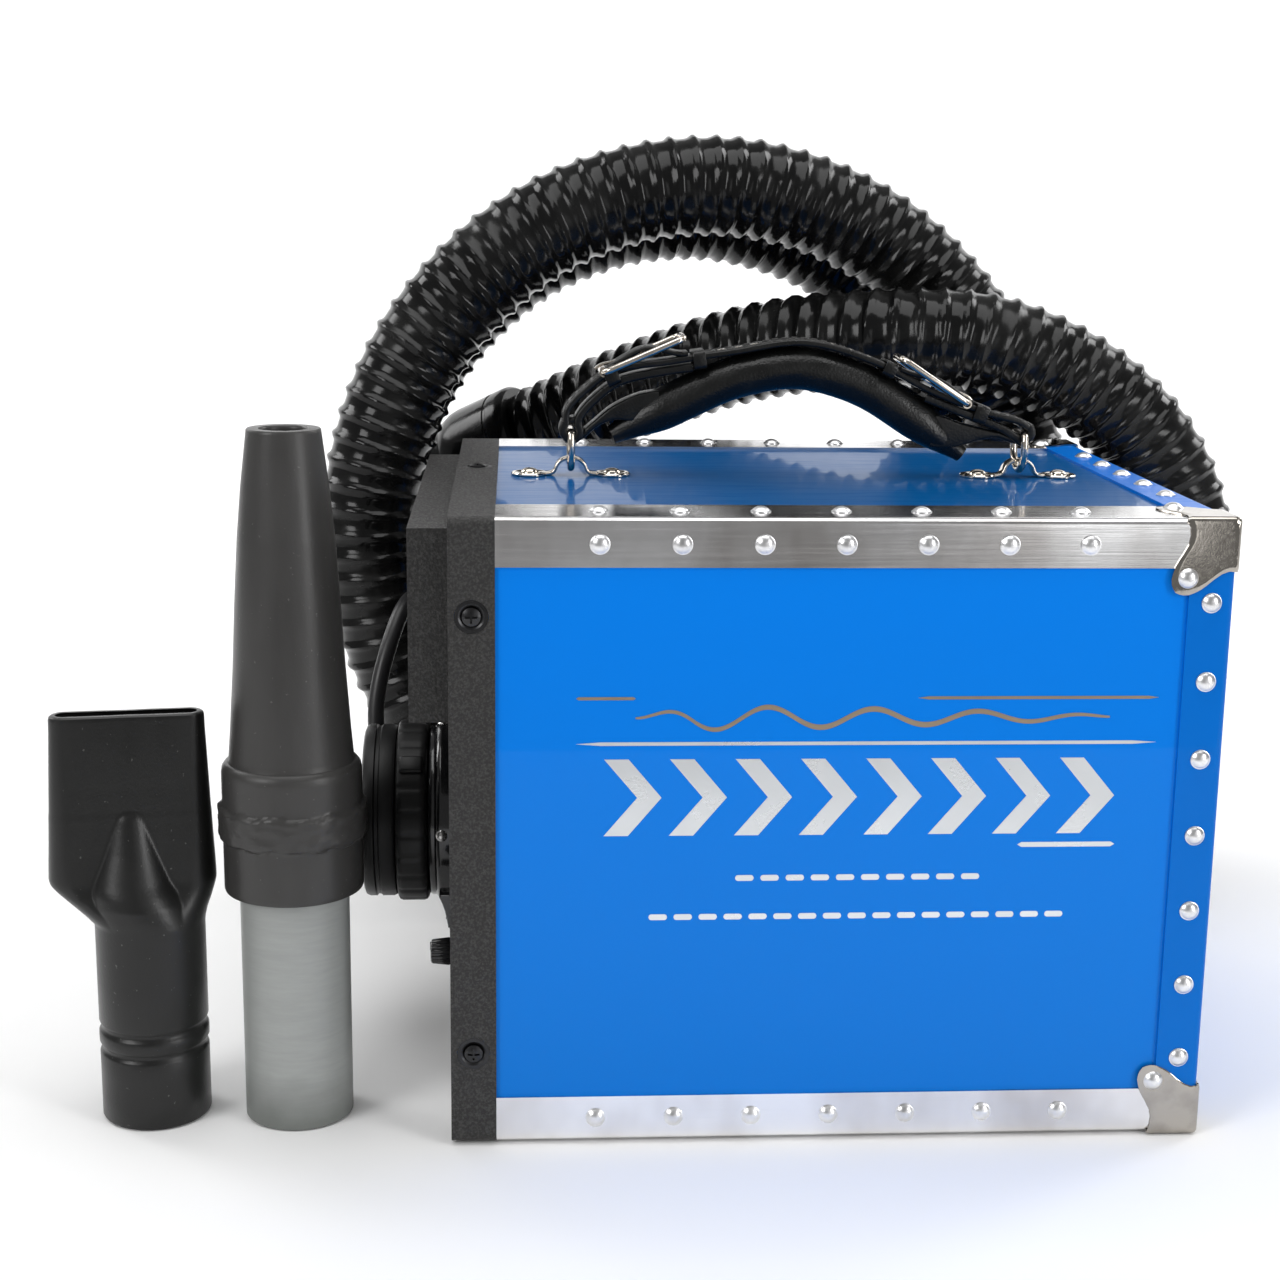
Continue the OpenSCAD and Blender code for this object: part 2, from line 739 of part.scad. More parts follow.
module handle_grip() {
    line = smooth([for (g = grip_line) grip_point(g)], 4);
    last = len(line) - 1;
    radii = [for (i = [0 : last]) grip_d / 2 * (0.72 + 0.28 * clamp01(min(i, last - i) / 3))];
    color(leather) swept(line, radii, [0, 1, 0], 12);
}

// Middle line of the strap in the XZ plane: it rides on the grip and ends at the ring loops.
function strap_line() = let (
        lift = grip_d / 2 + strap_t / 2 + 1.7,
        left = handle_x - bracket_span / 2, right = handle_x + bracket_span / 2,
        top = hinge_z + ring_top,
        line = [for (g = grip_line) let (p = grip_point(g)) [p[0], p[2]]])
    smooth(concat([[left - 2, top + 3], [left - 1.5, top + 10], [left + 7, top + 19],
            [left + 19, top + 27], [left + 41, top + 30.5]],
        [for (i = [2 : 4]) let (t = unit(line[i + 1] - line[i - 1]))
            line[i] + lift * [-t[1], t[0]]],
        [[right - 42, top + 19], [right - 17, top + 9.5], [right - 3, top + 6],
            [right + 2, top + 3]]), 4);

module strip_2d(p, half) {
    last = len(p) - 1;
    side = [for (i = [0 : last]) let (t = unit(p[min(i + 1, last)] - p[max(i - 1, 0)]))
        half * [-t[1], t[0]]];
    polygon(concat([for (i = [0 : last]) p[i] + side[i]],
        [for (i = [last : -1 : 0]) p[i] - side[i]]));
}

// A cylinder along Y through the bars of both D rings.
module at_bars(r, w) {
    for (x = bracket_xs()) translate([x, w / 2, hinge_z + ring_top]) rotate([90, 0, 0])
        cylinder(r = r, h = w);
}

module handle_strap() {
    color(leather) difference() {
        union() {
            translate([0, strap_w / 2, 0]) rotate([90, 0, 0]) linear_extrude(strap_w)
                strip_2d(strap_line(), strap_t / 2);
            at_bars(4.6, strap_w);
        }
        at_bars(wire_r + 0.3, strap_w + 2);
    }
}

// A D ring: its round half turns through the bracket's arch, its bar carries the strap.
module d_ring() {
    bar_r = wire_r + 0.2;
    reach = hinge_r + bar_r + 0.4;
    rotate([0, 90, 0]) rotate([0, 0, -90]) rotate_extrude(angle = 180)
        translate([hinge_r, 0]) circle(wire_r);
    for (side = [-1, 1]) translate([0, side * hinge_r, 0]) cylinder(r = wire_r, h = ring_top);
    translate([0, reach, ring_top]) rotate([90, 0, 0]) cylinder(r = bar_r, h = 2 * reach);
}

// A flat buckle frame with its bar, lying in the XY plane.
module buckle() {
    difference() {
        translate([-11, -11, 0]) cube([22, 22, 2.2]);
        translate([-8, -8, -1]) cube([6.5, 16, 5]);
        translate([1.5, -8, -1]) cube([6.5, 16, 5]);
    }
    translate([-1, -1.2, 1.4]) cube([16, 2.4, 2]);
}

module handle_rings() {
    line = strap_line();
    picks = [15, 32];
    buckle_lift = strap_t / 2 + 0.6;
    color("silver") {
        for (x = bracket_xs()) translate([x, 0, hinge_z]) d_ring();
        for (i = picks) let (p = line[i], t = unit(line[i + 1] - line[i - 1]))
            translate([p[0] - buckle_lift * t[1], 0, p[1] + buckle_lift * t[0]])
            rotate([0, -atan2(t[1], t[0]), 0]) buckle();
    }
}

// ---- nozzles ---------------------------------------------------------------------------------

module nozzle_cone() {
    foot = grip_h + 0.5;
    collar_top = 152;
    seat = foot + 18;
    throat = nozzle_h - 8;
    color(charcoal) translate([long_x, long_y, 0]) rotate_extrude() polygon([
        [tube_r - 0.2, foot], [tube_r + 6, foot], [tube_r + 6, 120], [tube_r + 8, 121.5],
        [tube_r + 8, 132.5], [tube_r + 6, 134], [tube_r + 6, collar_top - 4],
        [tube_r + 3, collar_top], [tube_r, collar_top + 22], [14.2, nozzle_h - 3],
        [12.6, nozzle_h], [9.2, nozzle_h], [9.2, throat], [12, throat - 6],
        [tube_r - 2, seat + 6], [tube_r - 2, seat], [tube_r - 0.2, seat]]);
}

module nozzle_tube() {
    color([0.6, 0.61, 0.6]) translate([long_x, long_y, 0]) difference() {
        union() {
            cylinder(r = tube_r, h = grip_h);
            cylinder(r = tube_r - 0.3, h = 114);
        }
        translate([0, 0, -1]) cylinder(r = tube_r - 2, h = 120);
    }
}

// A ring of points round two arcs of radius r whose centres are half_w either side of x.
function slot_ring(z, half_w, r, x) = [for (k = [0 : 31]) let (a = 360 * (k + 0.5) / 32)
    [x + sign(cos(a)) * half_w + r * cos(a), r * sin(a), z]];

// The flat nozzle's hollow blade: a round foot that widens into a slot.
module blade(foot_z) {
    lean = -6;
    half = mouth_w / 2;
    foot_r = tube_r - 0.4;
    foot_bore = tube_r - 1.8;
    rings = [slot_ring(foot_z - 0.5, 0, foot_r, 0), slot_ring(foot_z + 0.5, 0, foot_r, 0),
        slot_ring(101, half - 14, 14, lean), slot_ring(flat_h, half - 6, 6, lean),
        slot_ring(flat_h, half - 6, 3.8, lean), slot_ring(101, half - 14, 11.8, lean),
        slot_ring(foot_z + 0.5, 0, foot_bore, 0), slot_ring(foot_z - 0.5, 0, foot_bore, 0)];
    count = len(rings);
    polyhedron([for (g = rings) each g], [for (i = [0 : count - 1], k = [0 : 31])
        let (j = (i + 1) % count, m = (k + 1) % 32)
            [i * 32 + k, j * 32 + k, j * 32 + m, i * 32 + m]], convexity = 6);
}

module flat_nozzle() {
    foot_z = 82;
    color(charcoal) translate([flat_x, flat_y, 0]) rotate([0, 0, 8]) union() {
        difference() {
            cylinder(r = tube_r, h = foot_z);
            translate([0, 0, -1]) cylinder(r = tube_r - 2.2, h = foot_z + 2);
            for (z = [29, 38]) translate([0, 0, z]) difference() {
                cylinder(r = tube_r + 2, h = 3);
                translate([0, 0, -1]) cylinder(r = tube_r - 0.8, h = 5);
            }
        }
        blade(foot_z);
    }
}

// ---- hose and cord ---------------------------------------------------------------------------

// Two standing loops behind the case: the turns move back where they pass over the top.
function loop_point(k) = let (
        settle = clamp01((k - 9) / 6),
        r = loop_r - 7 * settle,
        a = -90 - 30 * k)
    [loop_x - 8 * settle + r * cos(a),
        hose_y + lay * (clamp01((k - 3) / 4.3) + clamp01((k - 15) / 4.3)),
        hose_floor + r + r * sin(a)];

hose_line = smooth(concat(hose_strand, [for (k = [0 : 23]) loop_point(k)], hose_end), 2);

module air_hose() {
    color(black) swept(hose_line, [for (p = hose_line) hose_r], [0, 1, 0], 12);
}

// A hose cuff that starts at the hose's end and points along +Z.
module cuff() {
    difference() {
        union() {
            cylinder(r = cuff_r, h = cuff_l);
            cylinder(r = hose_bore_r - 0.05, h = cuff_l + neck_l);
        }
        translate([0, 0, 6]) cylinder(r = tube_r + 0.1, h = cuff_l + neck_l);
    }
}

module cuff_at(p, away) {
    turn = atan2(away[1], away[0]);
    tilt = acos(away[2]);
    translate(p) rotate([0, tilt, turn]) cuff();
}

module hose_cuffs() {
    last = len(hose_line) - 1;
    color(black) {
        cuff_at(hose_line[0], -heading(hose_line, 0));
        cuff_at(hose_line[last], heading(hose_line, last));
    }
}

module power_cord() {
    lead = smooth(cord_lead, 2);
    tail = smooth(cord_tail, 3);
    color(black) {
        swept(lead, [for (p = lead) cord_d / 2], [0.5, -1, 0.5], 10);
        swept(tail, [for (p = tail) cord_d / 2], [0.2, 1, 0.1], 10);
    }
}

module power_cord_coil() {
    color(black) translate(coil_centre) rotate_extrude()
        translate([coil_mean_r, 0]) rounded_rect(2 * coil_half, 2 * coil_half, 4);
}

module power_plug() {
    color(black) union() {
        translate([plug_x1 - 62, coil_centre[1] - 14, plug_z - 14]) cube([42, 28, 28]);
        translate([plug_x1 - 20, coil_centre[1], plug_z]) rotate([0, 90, 0])
            cylinder(r1 = 9, r2 = cord_d / 2 + 1, h = 20);
    }
}

module plug_blades() {
    tip = plug_x1 - 62 - 16;
    color([0.8, 0.65, 0.3]) for (side = [-1, 1])
        translate([tip, coil_centre[1] + side * 6.35 - 0.75, plug_z - 3.2]) cube([16, 1.5, 6.5]);
}

// ---- one line per sub-part -------------------------------------------------------------------

front_panel();
back_panel();
top_panel();
bottom_panel();
end_panel();
base_pad();
trim_top_front();
trim_top_back();
trim_bottom_front();
trim_bottom_back();
end_trim_top();
end_trim_bottom();
end_trim_front();
end_trim_back();
corner_protectors();
corner_rivets();
trim_rivets();
end_trim_rivets();
control_cap();
cap_screws();
filter_frame();
filter_foam();
filter_grille();
filter_screws();
outlet_flange();
flange_screws();
locking_ring();
hose_socket();
switch_body();
switch_rocker();
speed_control();
speed_knob();
strain_relief();
power_cord();
power_cord_coil();
power_plug();
plug_blades();
bulkhead();
baffle();
motor_gasket();
fan_shell();
fan_diffuser();
motor_frame();
stator_core();
stator_windings();
bearings();
carbon_brushes();
motor_shaft();
armature();
impellers();
handle_brackets();
bracket_rivets();
handle_grip();
handle_strap();
handle_rings();
nozzle_cone();
nozzle_tube();
flat_nozzle();
air_hose();
hose_cuffs();
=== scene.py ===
import json
import math

import bmesh
import bpy
from mathutils import Matrix, Vector, noise


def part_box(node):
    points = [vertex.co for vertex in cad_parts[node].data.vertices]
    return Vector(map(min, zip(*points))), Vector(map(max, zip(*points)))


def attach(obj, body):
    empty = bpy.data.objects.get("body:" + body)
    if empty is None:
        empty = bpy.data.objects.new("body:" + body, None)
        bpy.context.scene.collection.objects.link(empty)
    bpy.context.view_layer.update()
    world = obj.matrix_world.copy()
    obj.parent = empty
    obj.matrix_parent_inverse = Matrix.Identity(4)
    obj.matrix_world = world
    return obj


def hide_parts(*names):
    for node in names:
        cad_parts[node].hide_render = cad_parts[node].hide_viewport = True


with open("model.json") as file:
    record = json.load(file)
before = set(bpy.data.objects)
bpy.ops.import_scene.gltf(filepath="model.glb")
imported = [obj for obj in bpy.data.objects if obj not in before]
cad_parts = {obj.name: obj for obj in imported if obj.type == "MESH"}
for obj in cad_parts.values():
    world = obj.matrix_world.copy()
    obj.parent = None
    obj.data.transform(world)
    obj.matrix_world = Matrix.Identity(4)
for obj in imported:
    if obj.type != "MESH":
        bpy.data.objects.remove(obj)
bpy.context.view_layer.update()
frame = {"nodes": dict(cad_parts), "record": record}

MM = 0.001
TURN = 2 * math.pi

# ---- camera and light boxes ------------------------------------------------------------


def aim(position, target):
    """A matrix that stands at position and looks at target along its -Z."""
    away = (Vector(target) - Vector(position)).normalized()
    return Matrix.Translation(position) @ away.to_track_quat("-Z", "Y").to_matrix().to_4x4()


def make_camera():
    yaw, pitch, roll = 0.0629, 0.2152, 0.0125
    forward = Vector((math.sin(yaw) * math.cos(pitch), math.cos(yaw) * math.cos(pitch),
                      -math.sin(pitch)))
    right = Vector((math.cos(yaw), -math.sin(yaw), 0))
    up = right.cross(forward)
    cam_x = math.cos(roll) * right + math.sin(roll) * up
    cam_y = -math.sin(roll) * right + math.cos(roll) * up
    data = bpy.data.cameras.new("camera")
    data.lens = 57.43
    data.sensor_width = 36
    camera = bpy.data.objects.new("camera", data)
    bpy.context.scene.collection.objects.link(camera)
    place = Matrix((cam_x, cam_y, -forward)).transposed().to_4x4()
    place.translation = (-0.126656, -0.887876, 0.374405)
    camera.matrix_world = place
    bpy.context.scene.camera = camera


def softbox(name, position, target, width, height, watts):
    data = bpy.data.lights.new(name, "AREA")
    data.shape = "RECTANGLE"
    data.size, data.size_y = width, height
    data.energy = watts
    lamp = bpy.data.objects.new(name, data)
    bpy.context.scene.collection.objects.link(lamp)
    lamp.matrix_world = aim(position, target)


make_camera()

# ---- routes --------------------------------------------------------------------------------


def clamp01(v):
    return max(0.0, min(1.0, v))


def ease(v):
    v = clamp01(v)
    return v * v * (3 - 2 * v)


def curve_point(p, i, t):
    a, b, c, d = p[max(i - 1, 0)], p[i], p[i + 1], p[min(i + 2, len(p) - 1)]
    return 0.5 * (2 * b + (c - a) * t + (2 * a - 5 * b + 4 * c - d) * t * t
                  + (3 * b - 3 * c + d - a) * t ** 3)


def smooth_line(points, steps):
    p = [Vector(q) for q in points]
    line = [curve_point(p, i, k / steps) for i in range(len(p) - 1) for k in range(steps)]
    return line + [p[-1]]


def even_line(points, spacing):
    """The same line with its points an even distance apart."""
    total, marks = 0.0, [0.0]
    for a, b in zip(points, points[1:]):
        total += (b - a).length
        marks.append(total)
    count = max(2, round(total / spacing))
    line, j = [], 0
    for k in range(count + 1):
        s = total * k / count
        while j < len(marks) - 2 and marks[j + 1] < s:
            j += 1
        line.append(points[j].lerp(points[j + 1],
                                   clamp01((s - marks[j]) / (marks[j + 1] - marks[j]))))
    return line


def length_of(points):
    return sum((b - a).length for a, b in zip(points, points[1:]))


HOSE_STRAND = [
    (-121, 259, 239), (-60, 228, 270), (0, 196, 293), (60, 165, 303), (114, 157, 302),
    (162, 157, 284), (198, 157, 256), (220, 157, 220), (226, 157, 180), (218, 157, 136),
    (198, 157, 95), (166, 157, 62), (124, 157, 40), (76, 157, 30), (25, 157, 28.5)]
HOSE_END = [(-10, 266, 34), (-66, 268, 33)]
LOOP_POINTS = 24


def loop_point(k):
    settle = clamp01((k - 9) / 6)
    r = 175.5 - 7 * settle
    a = math.radians(-90 - 30 * k)
    across = clamp01((k - 3) / 4.3) + clamp01((k - 15) / 4.3)
    return (-25 - 8 * settle + r * math.cos(a), 157 + 52.5 * across,
            28 + r + r * math.sin(a))


hose_line = smooth_line(HOSE_STRAND + [loop_point(k) for k in range(LOOP_POINTS)] + HOSE_END, 8)

CORD_LEAD = [
    (-174.4, 62, 102), (-184, 62, 104), (-191, 64, 114), (-193, 67, 128), (-191, 72, 145),
    (-186, 80, 163), (-181, 92, 175), (-176, 109, 178), (-168, 126, 173), (-154, 138, 162),
    (-136, 149, 147), (-112, 157, 130), (-84, 162, 114), (-54, 163, 101), (-25, 162, 91)]
CORD_TAIL = [(23, 196, 88), (33, 203, 100), (27, 209, 111), (16, 210, 111.5), (6.2, 210, 111.5)]
COIL_CENTRE = Vector((-25, 210, 82))
COIL_R = 48
CORD_D = 8
COIL_PITCH = 8.6
# Steps out from the mean radius and up from the middle, one for each turn of the coil.
COIL_TURNS = [(-1, 1), (-1, 0), (-1, -1), (0, -1), (1, -1), (1, 0), (0, 0), (0, 1), (1, 1)]


def coil_points():
    per_turn, points = 36, []
    for turn, (out, up) in enumerate(COIL_TURNS):
        before = COIL_TURNS[turn - 1] if turn else (0, 1)
        for k in range(per_turn):
            t = ease(k / (per_turn * 0.2))
            r = COIL_R + COIL_PITCH * (before[0] + (out - before[0]) * t)
            z = COIL_PITCH * (before[1] + (up - before[1]) * t)
            a = math.radians(-90 + 360 * k / per_turn)
            points.append(COIL_CENTRE + Vector((r * math.cos(a), r * math.sin(a), z)))
    for k in range(5):
        a = math.radians(-90 + 360 * k / per_turn)
        r = COIL_R + COIL_PITCH * (1 - 0.12 * k)
        points.append(COIL_CENTRE + Vector((r * math.cos(a), r * math.sin(a), COIL_PITCH)))
    return points


cord_line = smooth_line(CORD_LEAD, 6)[:-1] + coil_points() + smooth_line(CORD_TAIL, 6)

# ---- materials -----------------------------------------------------------------------------


class Value:
    """A socket that can be used in sums."""

    def __init__(self, shade, socket):
        self.shade, self.socket = shade, socket

    def sum(self, operation, *terms):
        return self.shade.node("ShaderNodeMath", {"operation": operation}, terms)

    def __add__(self, other):
        return self.sum("ADD", self, other)

    def __radd__(self, other):
        return self.sum("ADD", other, self)

    def __sub__(self, other):
        return self.sum("SUBTRACT", self, other)

    def __rsub__(self, other):
        return self.sum("SUBTRACT", other, self)

    def __mul__(self, other):
        return self.sum("MULTIPLY", self, other)

    def __rmul__(self, other):
        return self.sum("MULTIPLY", other, self)


class Shade:
    """One material: its shader, its object coordinates and its nodes."""

    def __init__(self, name, colour, roughness, metallic=0.0, coat=0.0, coat_rough=0.05,
                 specular=0.5):
        self.material = bpy.data.materials.new(name)
        self.material.use_nodes = True
        self.nodes = self.material.node_tree.nodes
        self.links = self.material.node_tree.links
        self.shader = self.nodes["Principled BSDF"]
        self.set("Base Color", (*colour, 1))
        self.set("Roughness", roughness)
        self.set("Metallic", metallic)
        self.set("Coat Weight", coat)
        self.set("Coat Roughness", coat_rough)
        self.set("Specular IOR Level", specular)
        self.place = self.node("ShaderNodeTexCoord", out="Object")

    def set(self, name, value):
        if isinstance(value, Value):
            self.links.new(value.socket, self.shader.inputs[name])
        else:
            self.shader.inputs[name].default_value = value

    def node(self, kind, settings=None, inputs=(), out=0):
        made = self.nodes.new(kind)
        for name, value in (settings or {}).items():
            if name == "stops":
                ramp = made.color_ramp.elements
                while len(ramp) < len(value):
                    ramp.new(0.5)
                for stop, (at, colour) in zip(ramp, value):
                    stop.position, stop.color = at, (*colour, 1)
            else:
                setattr(made, name, value)
        pairs = inputs.items() if isinstance(inputs, dict) else enumerate(inputs)
        for name, value in pairs:
            if isinstance(value, Value):
                self.links.new(value.socket, made.inputs[name])
            else:
                made.inputs[name].default_value = value
        return Value(self, made.outputs[out])

    def stretched(self, scale):
        return self.node("ShaderNodeMapping", inputs={"Vector": self.place, "Scale": scale})

    def noise(self, scale, detail=3.0, rough=0.5, at=None):
        return self.node("ShaderNodeTexNoise", inputs={
            "Vector": at or self.place, "Scale": scale, "Detail": detail, "Roughness": rough})

    def cells(self, scale, feature="F1", at=None):
        return self.node("ShaderNodeTexVoronoi", {"feature": feature},
                         {"Vector": at or self.place, "Scale": scale}, out="Distance")

    def step(self, value, low, high, to_low=0.0, to_high=1.0):
        return self.node("ShaderNodeMapRange", inputs={
            "Value": value, "From Min": low, "From Max": high, "To Min": to_low,
            "To Max": to_high})

    def blend(self, amount, first, second):
        mixed = self.nodes.new("ShaderNodeMix")
        mixed.data_type = "RGBA"
        for socket, value in ((mixed.inputs[0], amount), (mixed.inputs[6], first),
                              (mixed.inputs[7], second)):
            if isinstance(value, Value):
                self.links.new(value.socket, socket)
            else:
                socket.default_value = value if isinstance(value, (int, float)) else (*value, 1)
        return Value(self, mixed.outputs[2])

    def bump(self, height, depth, strength=1.0):
        self.set("Normal", self.node("ShaderNodeBump", inputs={
            "Strength": strength, "Distance": depth, "Height": height}))

    def up(self):
        split = self.node("ShaderNodeSeparateXYZ", inputs=[self.place], out="Z")
        return split


def plain_finish(name, colour, rough, metallic=0.0, coat=0.0, grain=900.0, depth=0.00003,
                 mottle=0.12, **more):
    """A finish with a light grain, a slight change of colour and uneven gloss."""
    s = Shade(name, colour, rough, metallic, coat, **more)
    patch = s.noise(24.0, 4.0)
    darker = tuple(c * (1 - mottle) for c in colour)
    lighter = tuple(min(1.0, c * (1 + mottle)) for c in colour)
    s.set("Base Color", s.blend(patch, darker, lighter))
    s.set("Roughness", s.step(s.noise(60.0, 5.0), 0.3, 0.7, rough * 0.85, rough * 1.15))
    s.bump(s.noise(grain, 2.0), depth)
    return s.material


def laminate_with_painted_shade(name, top, foot, coat_rough=0.02, coat=0.2):
    """High-gloss sheet: a faint orange peel, haze and fine rubbed scratches, with painted shade: the
    lit top colour darkens to the foot colour towards the bottom.
    """
    s = Shade(name, top, 0.3, coat=coat, coat_rough=coat_rough, specular=0.04)
    # Painted shade: the colour goes from the lit top colour down to the darker foot colour.
    height = s.step(s.up(), 0.03, 0.24)
    wave = s.step(s.noise(9.0, 3.0), 0.35, 0.65, 0.94, 1.0)
    s.set("Base Color", s.blend(height * wave, foot, top))
    rub = s.noise(260.0, 2.0, at=s.stretched((0.12, 1.0, 2.6)))
    s.set("Roughness", s.step(rub, 0.45, 0.8, 0.3, 0.38))
    s.bump(s.noise(46.0, 2.0) + 0.05 * s.noise(700.0, 1.0), 0.00002)
    return s.material


def polished_strip():
    """Bright aluminium drawn lengthwise, with soft stains."""
    s = Shade("polished_aluminium", (0.86, 0.87, 0.88), 0.16, 1.0)
    lines = s.noise(900.0, 3.0, 0.7, at=s.stretched((0.02, 1.0, 1.0)))
    stain = s.noise(15.0, 4.0, 0.55, at=s.stretched((1.0, 0.6, 0.6)))
    s.set("Base Color", s.blend(s.step(stain, 0.4, 0.68), (0.95, 0.95, 0.96),
                                (0.6, 0.575, 0.56)))
    s.set("Roughness", s.step(lines, 0.3, 0.75, 0.1, 0.26))
    s.bump(lines + 0.4 * s.noise(120.0, 2.0), 0.000018)
    return s.material


def chrome_finish(name, colour, rough):
    s = Shade(name, colour, rough, 1.0)
    pits = s.noise(480.0, 4.0, 0.7)
    s.set("Roughness", s.step(pits, 0.5, 0.78, rough, rough + 0.22))
    s.set("Base Color", s.blend(s.step(s.noise(90.0, 4.0), 0.45, 0.7), colour,
                                tuple(c * 0.8 for c in colour)))
    s.bump(pits, 0.00002)
    return s.material


def wrinkle_finish():
    """Black powder coat with a fine wrinkle, paler on its crests."""
    s = Shade("wrinkle_coat", (0.03, 0.03, 0.03), 0.5, specular=0.5)
    folds = s.noise(1050.0, 3.0, 0.6)
    crest = s.step(folds, 0.45, 0.68)
    s.set("Base Color", s.blend(crest, (0.011, 0.0105, 0.01), (0.04, 0.0385, 0.037)))
    s.set("Roughness", s.step(folds, 0.4, 0.7, 0.62, 0.36))
    s.bump(folds, 0.0005, 0.9)
    return s.material


def leather_finish(name, colour, rough):
    """Grained leather: pebbled cells, fine pores and dry, rubbed high spots."""
    s = Shade(name, colour, rough, specular=0.38)
    pebble = s.cells(900.0, "F1")
    crease = s.noise(95.0, 5.0, 0.65)
    worn = s.step(crease, 0.52, 0.74)
    s.set("Base Color", s.blend(worn, colour, tuple(c * 1.9 for c in colour)))
    s.set("Roughness", s.step(crease, 0.3, 0.7, rough * 0.8, rough * 1.35))
    s.bump(pebble * 0.6 + crease * 0.5, 0.00022, 0.7)
    return s.material


def hose_finish():
    """Glossy soft plastic with a thin film of dust that dulls it in patches."""
    s = Shade("hose_gloss", (0.005, 0.005, 0.005), 0.13, specular=0.25)
    film = s.noise(38.0, 5.0, 0.6)
    s.set("Base Color", s.blend(s.step(film, 0.45, 0.75), (0.004, 0.004, 0.004),
                                (0.013, 0.013, 0.0125)))
    s.set("Roughness", s.step(film, 0.35, 0.75, 0.1, 0.3))
    s.bump(s.noise(300.0, 3.0), 0.00006)
    return s.material


def nozzle_finish(name, colour, rough):
    """Moulded plastic: faint flow marks, small scuffs and chips."""
    s = Shade(name, colour, rough, specular=0.42)
    flow = s.noise(60.0, 4.0, at=s.stretched((1.0, 1.0, 0.25)))
    chips = s.step(s.noise(520.0, 2.0), 0.71, 0.76)
    body = s.blend(s.step(flow, 0.35, 0.7), colour, tuple(c * 1.35 for c in colour))
    s.set("Base Color", s.blend(chips * 0.35, body, (0.2, 0.2, 0.19)))
    s.set("Roughness", s.step(flow, 0.3, 0.7, rough * 0.85, rough * 1.2))
    s.bump(s.noise(850.0, 2.0) + 0.6 * flow, 0.00005)
    return s.material


def scuffed_tube():
    """Grey tube with fine scratches round it, darker towards its foot."""
    s = Shade("grey_tube", (0.36, 0.38, 0.38), 0.42)
    rings = s.noise(420.0, 4.0, 0.7, at=s.stretched((0.12, 0.12, 1.0)))
    body = s.blend(s.step(rings, 0.35, 0.7), (0.3, 0.312, 0.303), (0.335, 0.347, 0.338))
    # The colour darkens towards the bottom of the tube.
    low_darkening = s.step(s.up() + 0.012 * s.noise(70.0, 4.0), 0.009, 0.03, 0.85, 0.0)
    s.set("Base Color", s.blend(low_darkening, body, (0.13, 0.14, 0.13)))
    s.set("Roughness", s.step(rings, 0.3, 0.7, 0.34, 0.5))
    s.bump(rings, 0.00003)
    return s.material


def ply_finish():
    s = Shade("plywood", (0.6, 0.45, 0.28), 0.6)
    grain = s.noise(160.0, 5.0, 0.6, at=s.stretched((1.0, 0.08, 1.0)))
    s.set("Base Color", s.blend(grain, (0.45, 0.32, 0.19), (0.7, 0.56, 0.38)))
    s.bump(grain, 0.0002)
    return s.material


# Lit top colour and painted-shade foot colour of the blue laminate.
BLUE_LIT_TOP, BLUE_SHADED_FOOT = (0.0005, 0.212, 0.83), (0.003, 0.175, 0.64)
FINISH = {
    "laminate": laminate_with_painted_shade("blue_laminate", BLUE_LIT_TOP, BLUE_SHADED_FOOT),
    # The trim's foot colour is darker too: painted shade.
    "blue_trim": laminate_with_painted_shade("blue_trim_paint", (0.001, 0.15, 0.6), (0.002, 0.145, 0.56), 0.04,
                                0.12),
    "aluminium_trim": polished_strip(),
    "corner_chrome": chrome_finish("nickel_plate", (0.44, 0.41, 0.37), 0.06),
    "screw_steel": chrome_finish("zinc_screw", (0.62, 0.61, 0.6), 0.22),
    "textured_black": wrinkle_finish(),
    "black_plastic": plain_finish("gloss_black", (0.008, 0.008, 0.009), 0.16, coat=0.3),
    "ring_plastic": plain_finish("satin_black", (0.004, 0.004, 0.0042), 0.42, specular=0.3),
    "foam": plain_finish("open_foam", (0.018, 0.018, 0.018), 0.9, grain=500.0, depth=0.001),
    "pad_rubber": plain_finish("pad_rubber", (0.022, 0.022, 0.022), 0.75, grain=350.0,
                               depth=0.0002),
    "cord_rubber": plain_finish("cord_rubber", (0.012, 0.012, 0.013), 0.38),
    "plug_brass": plain_finish("brass", (0.75, 0.55, 0.25), 0.25, 1.0),
    "plywood": ply_finish(),
    "fan_aluminium": plain_finish("spun_aluminium", (0.72, 0.73, 0.74), 0.32, 1.0),
    "plain_steel": plain_finish("plain_steel", (0.5, 0.5, 0.51), 0.35, 1.0),
    "copper_winding": plain_finish("varnished_copper", (0.62, 0.28, 0.12), 0.3, 1.0,
                                   depth=0.0003),
    "leather": leather_finish("black_leather", (0.004, 0.0042, 0.004), 0.3),
    "nozzle_plastic": nozzle_finish("nozzle_plastic", (0.033, 0.032, 0.031), 0.36),
    "grey_tube": scuffed_tube(),
    "hose_plastic": hose_finish(),
}
THREAD = plain_finish("waxed_thread", (0.03, 0.029, 0.028), 0.6, grain=2500.0)
DARK_NICKEL = chrome_finish("buckle_nickel", (0.74, 0.68, 0.6), 0.12)
TIE_CLOTH = plain_finish("tie_cloth", (0.03, 0.03, 0.032), 0.85, grain=1800.0, depth=0.0002)
SILVER_LINE = plain_finish("silver_foil", (0.78, 0.8, 0.82), 0.3, 1.0)
BRONZE_LINE = plain_finish("bronze_foil", (0.42, 0.33, 0.24), 0.34, 1.0)

FLAT_BLACK = nozzle_finish("flat_nozzle_black", (0.006, 0.006, 0.0058), 0.33)
BLACK_SCREW = chrome_finish("blackened_screw", (0.05, 0.05, 0.052), 0.3)
RIVET_METAL = chrome_finish("rivet_aluminium", (0.86, 0.86, 0.87), 0.3)
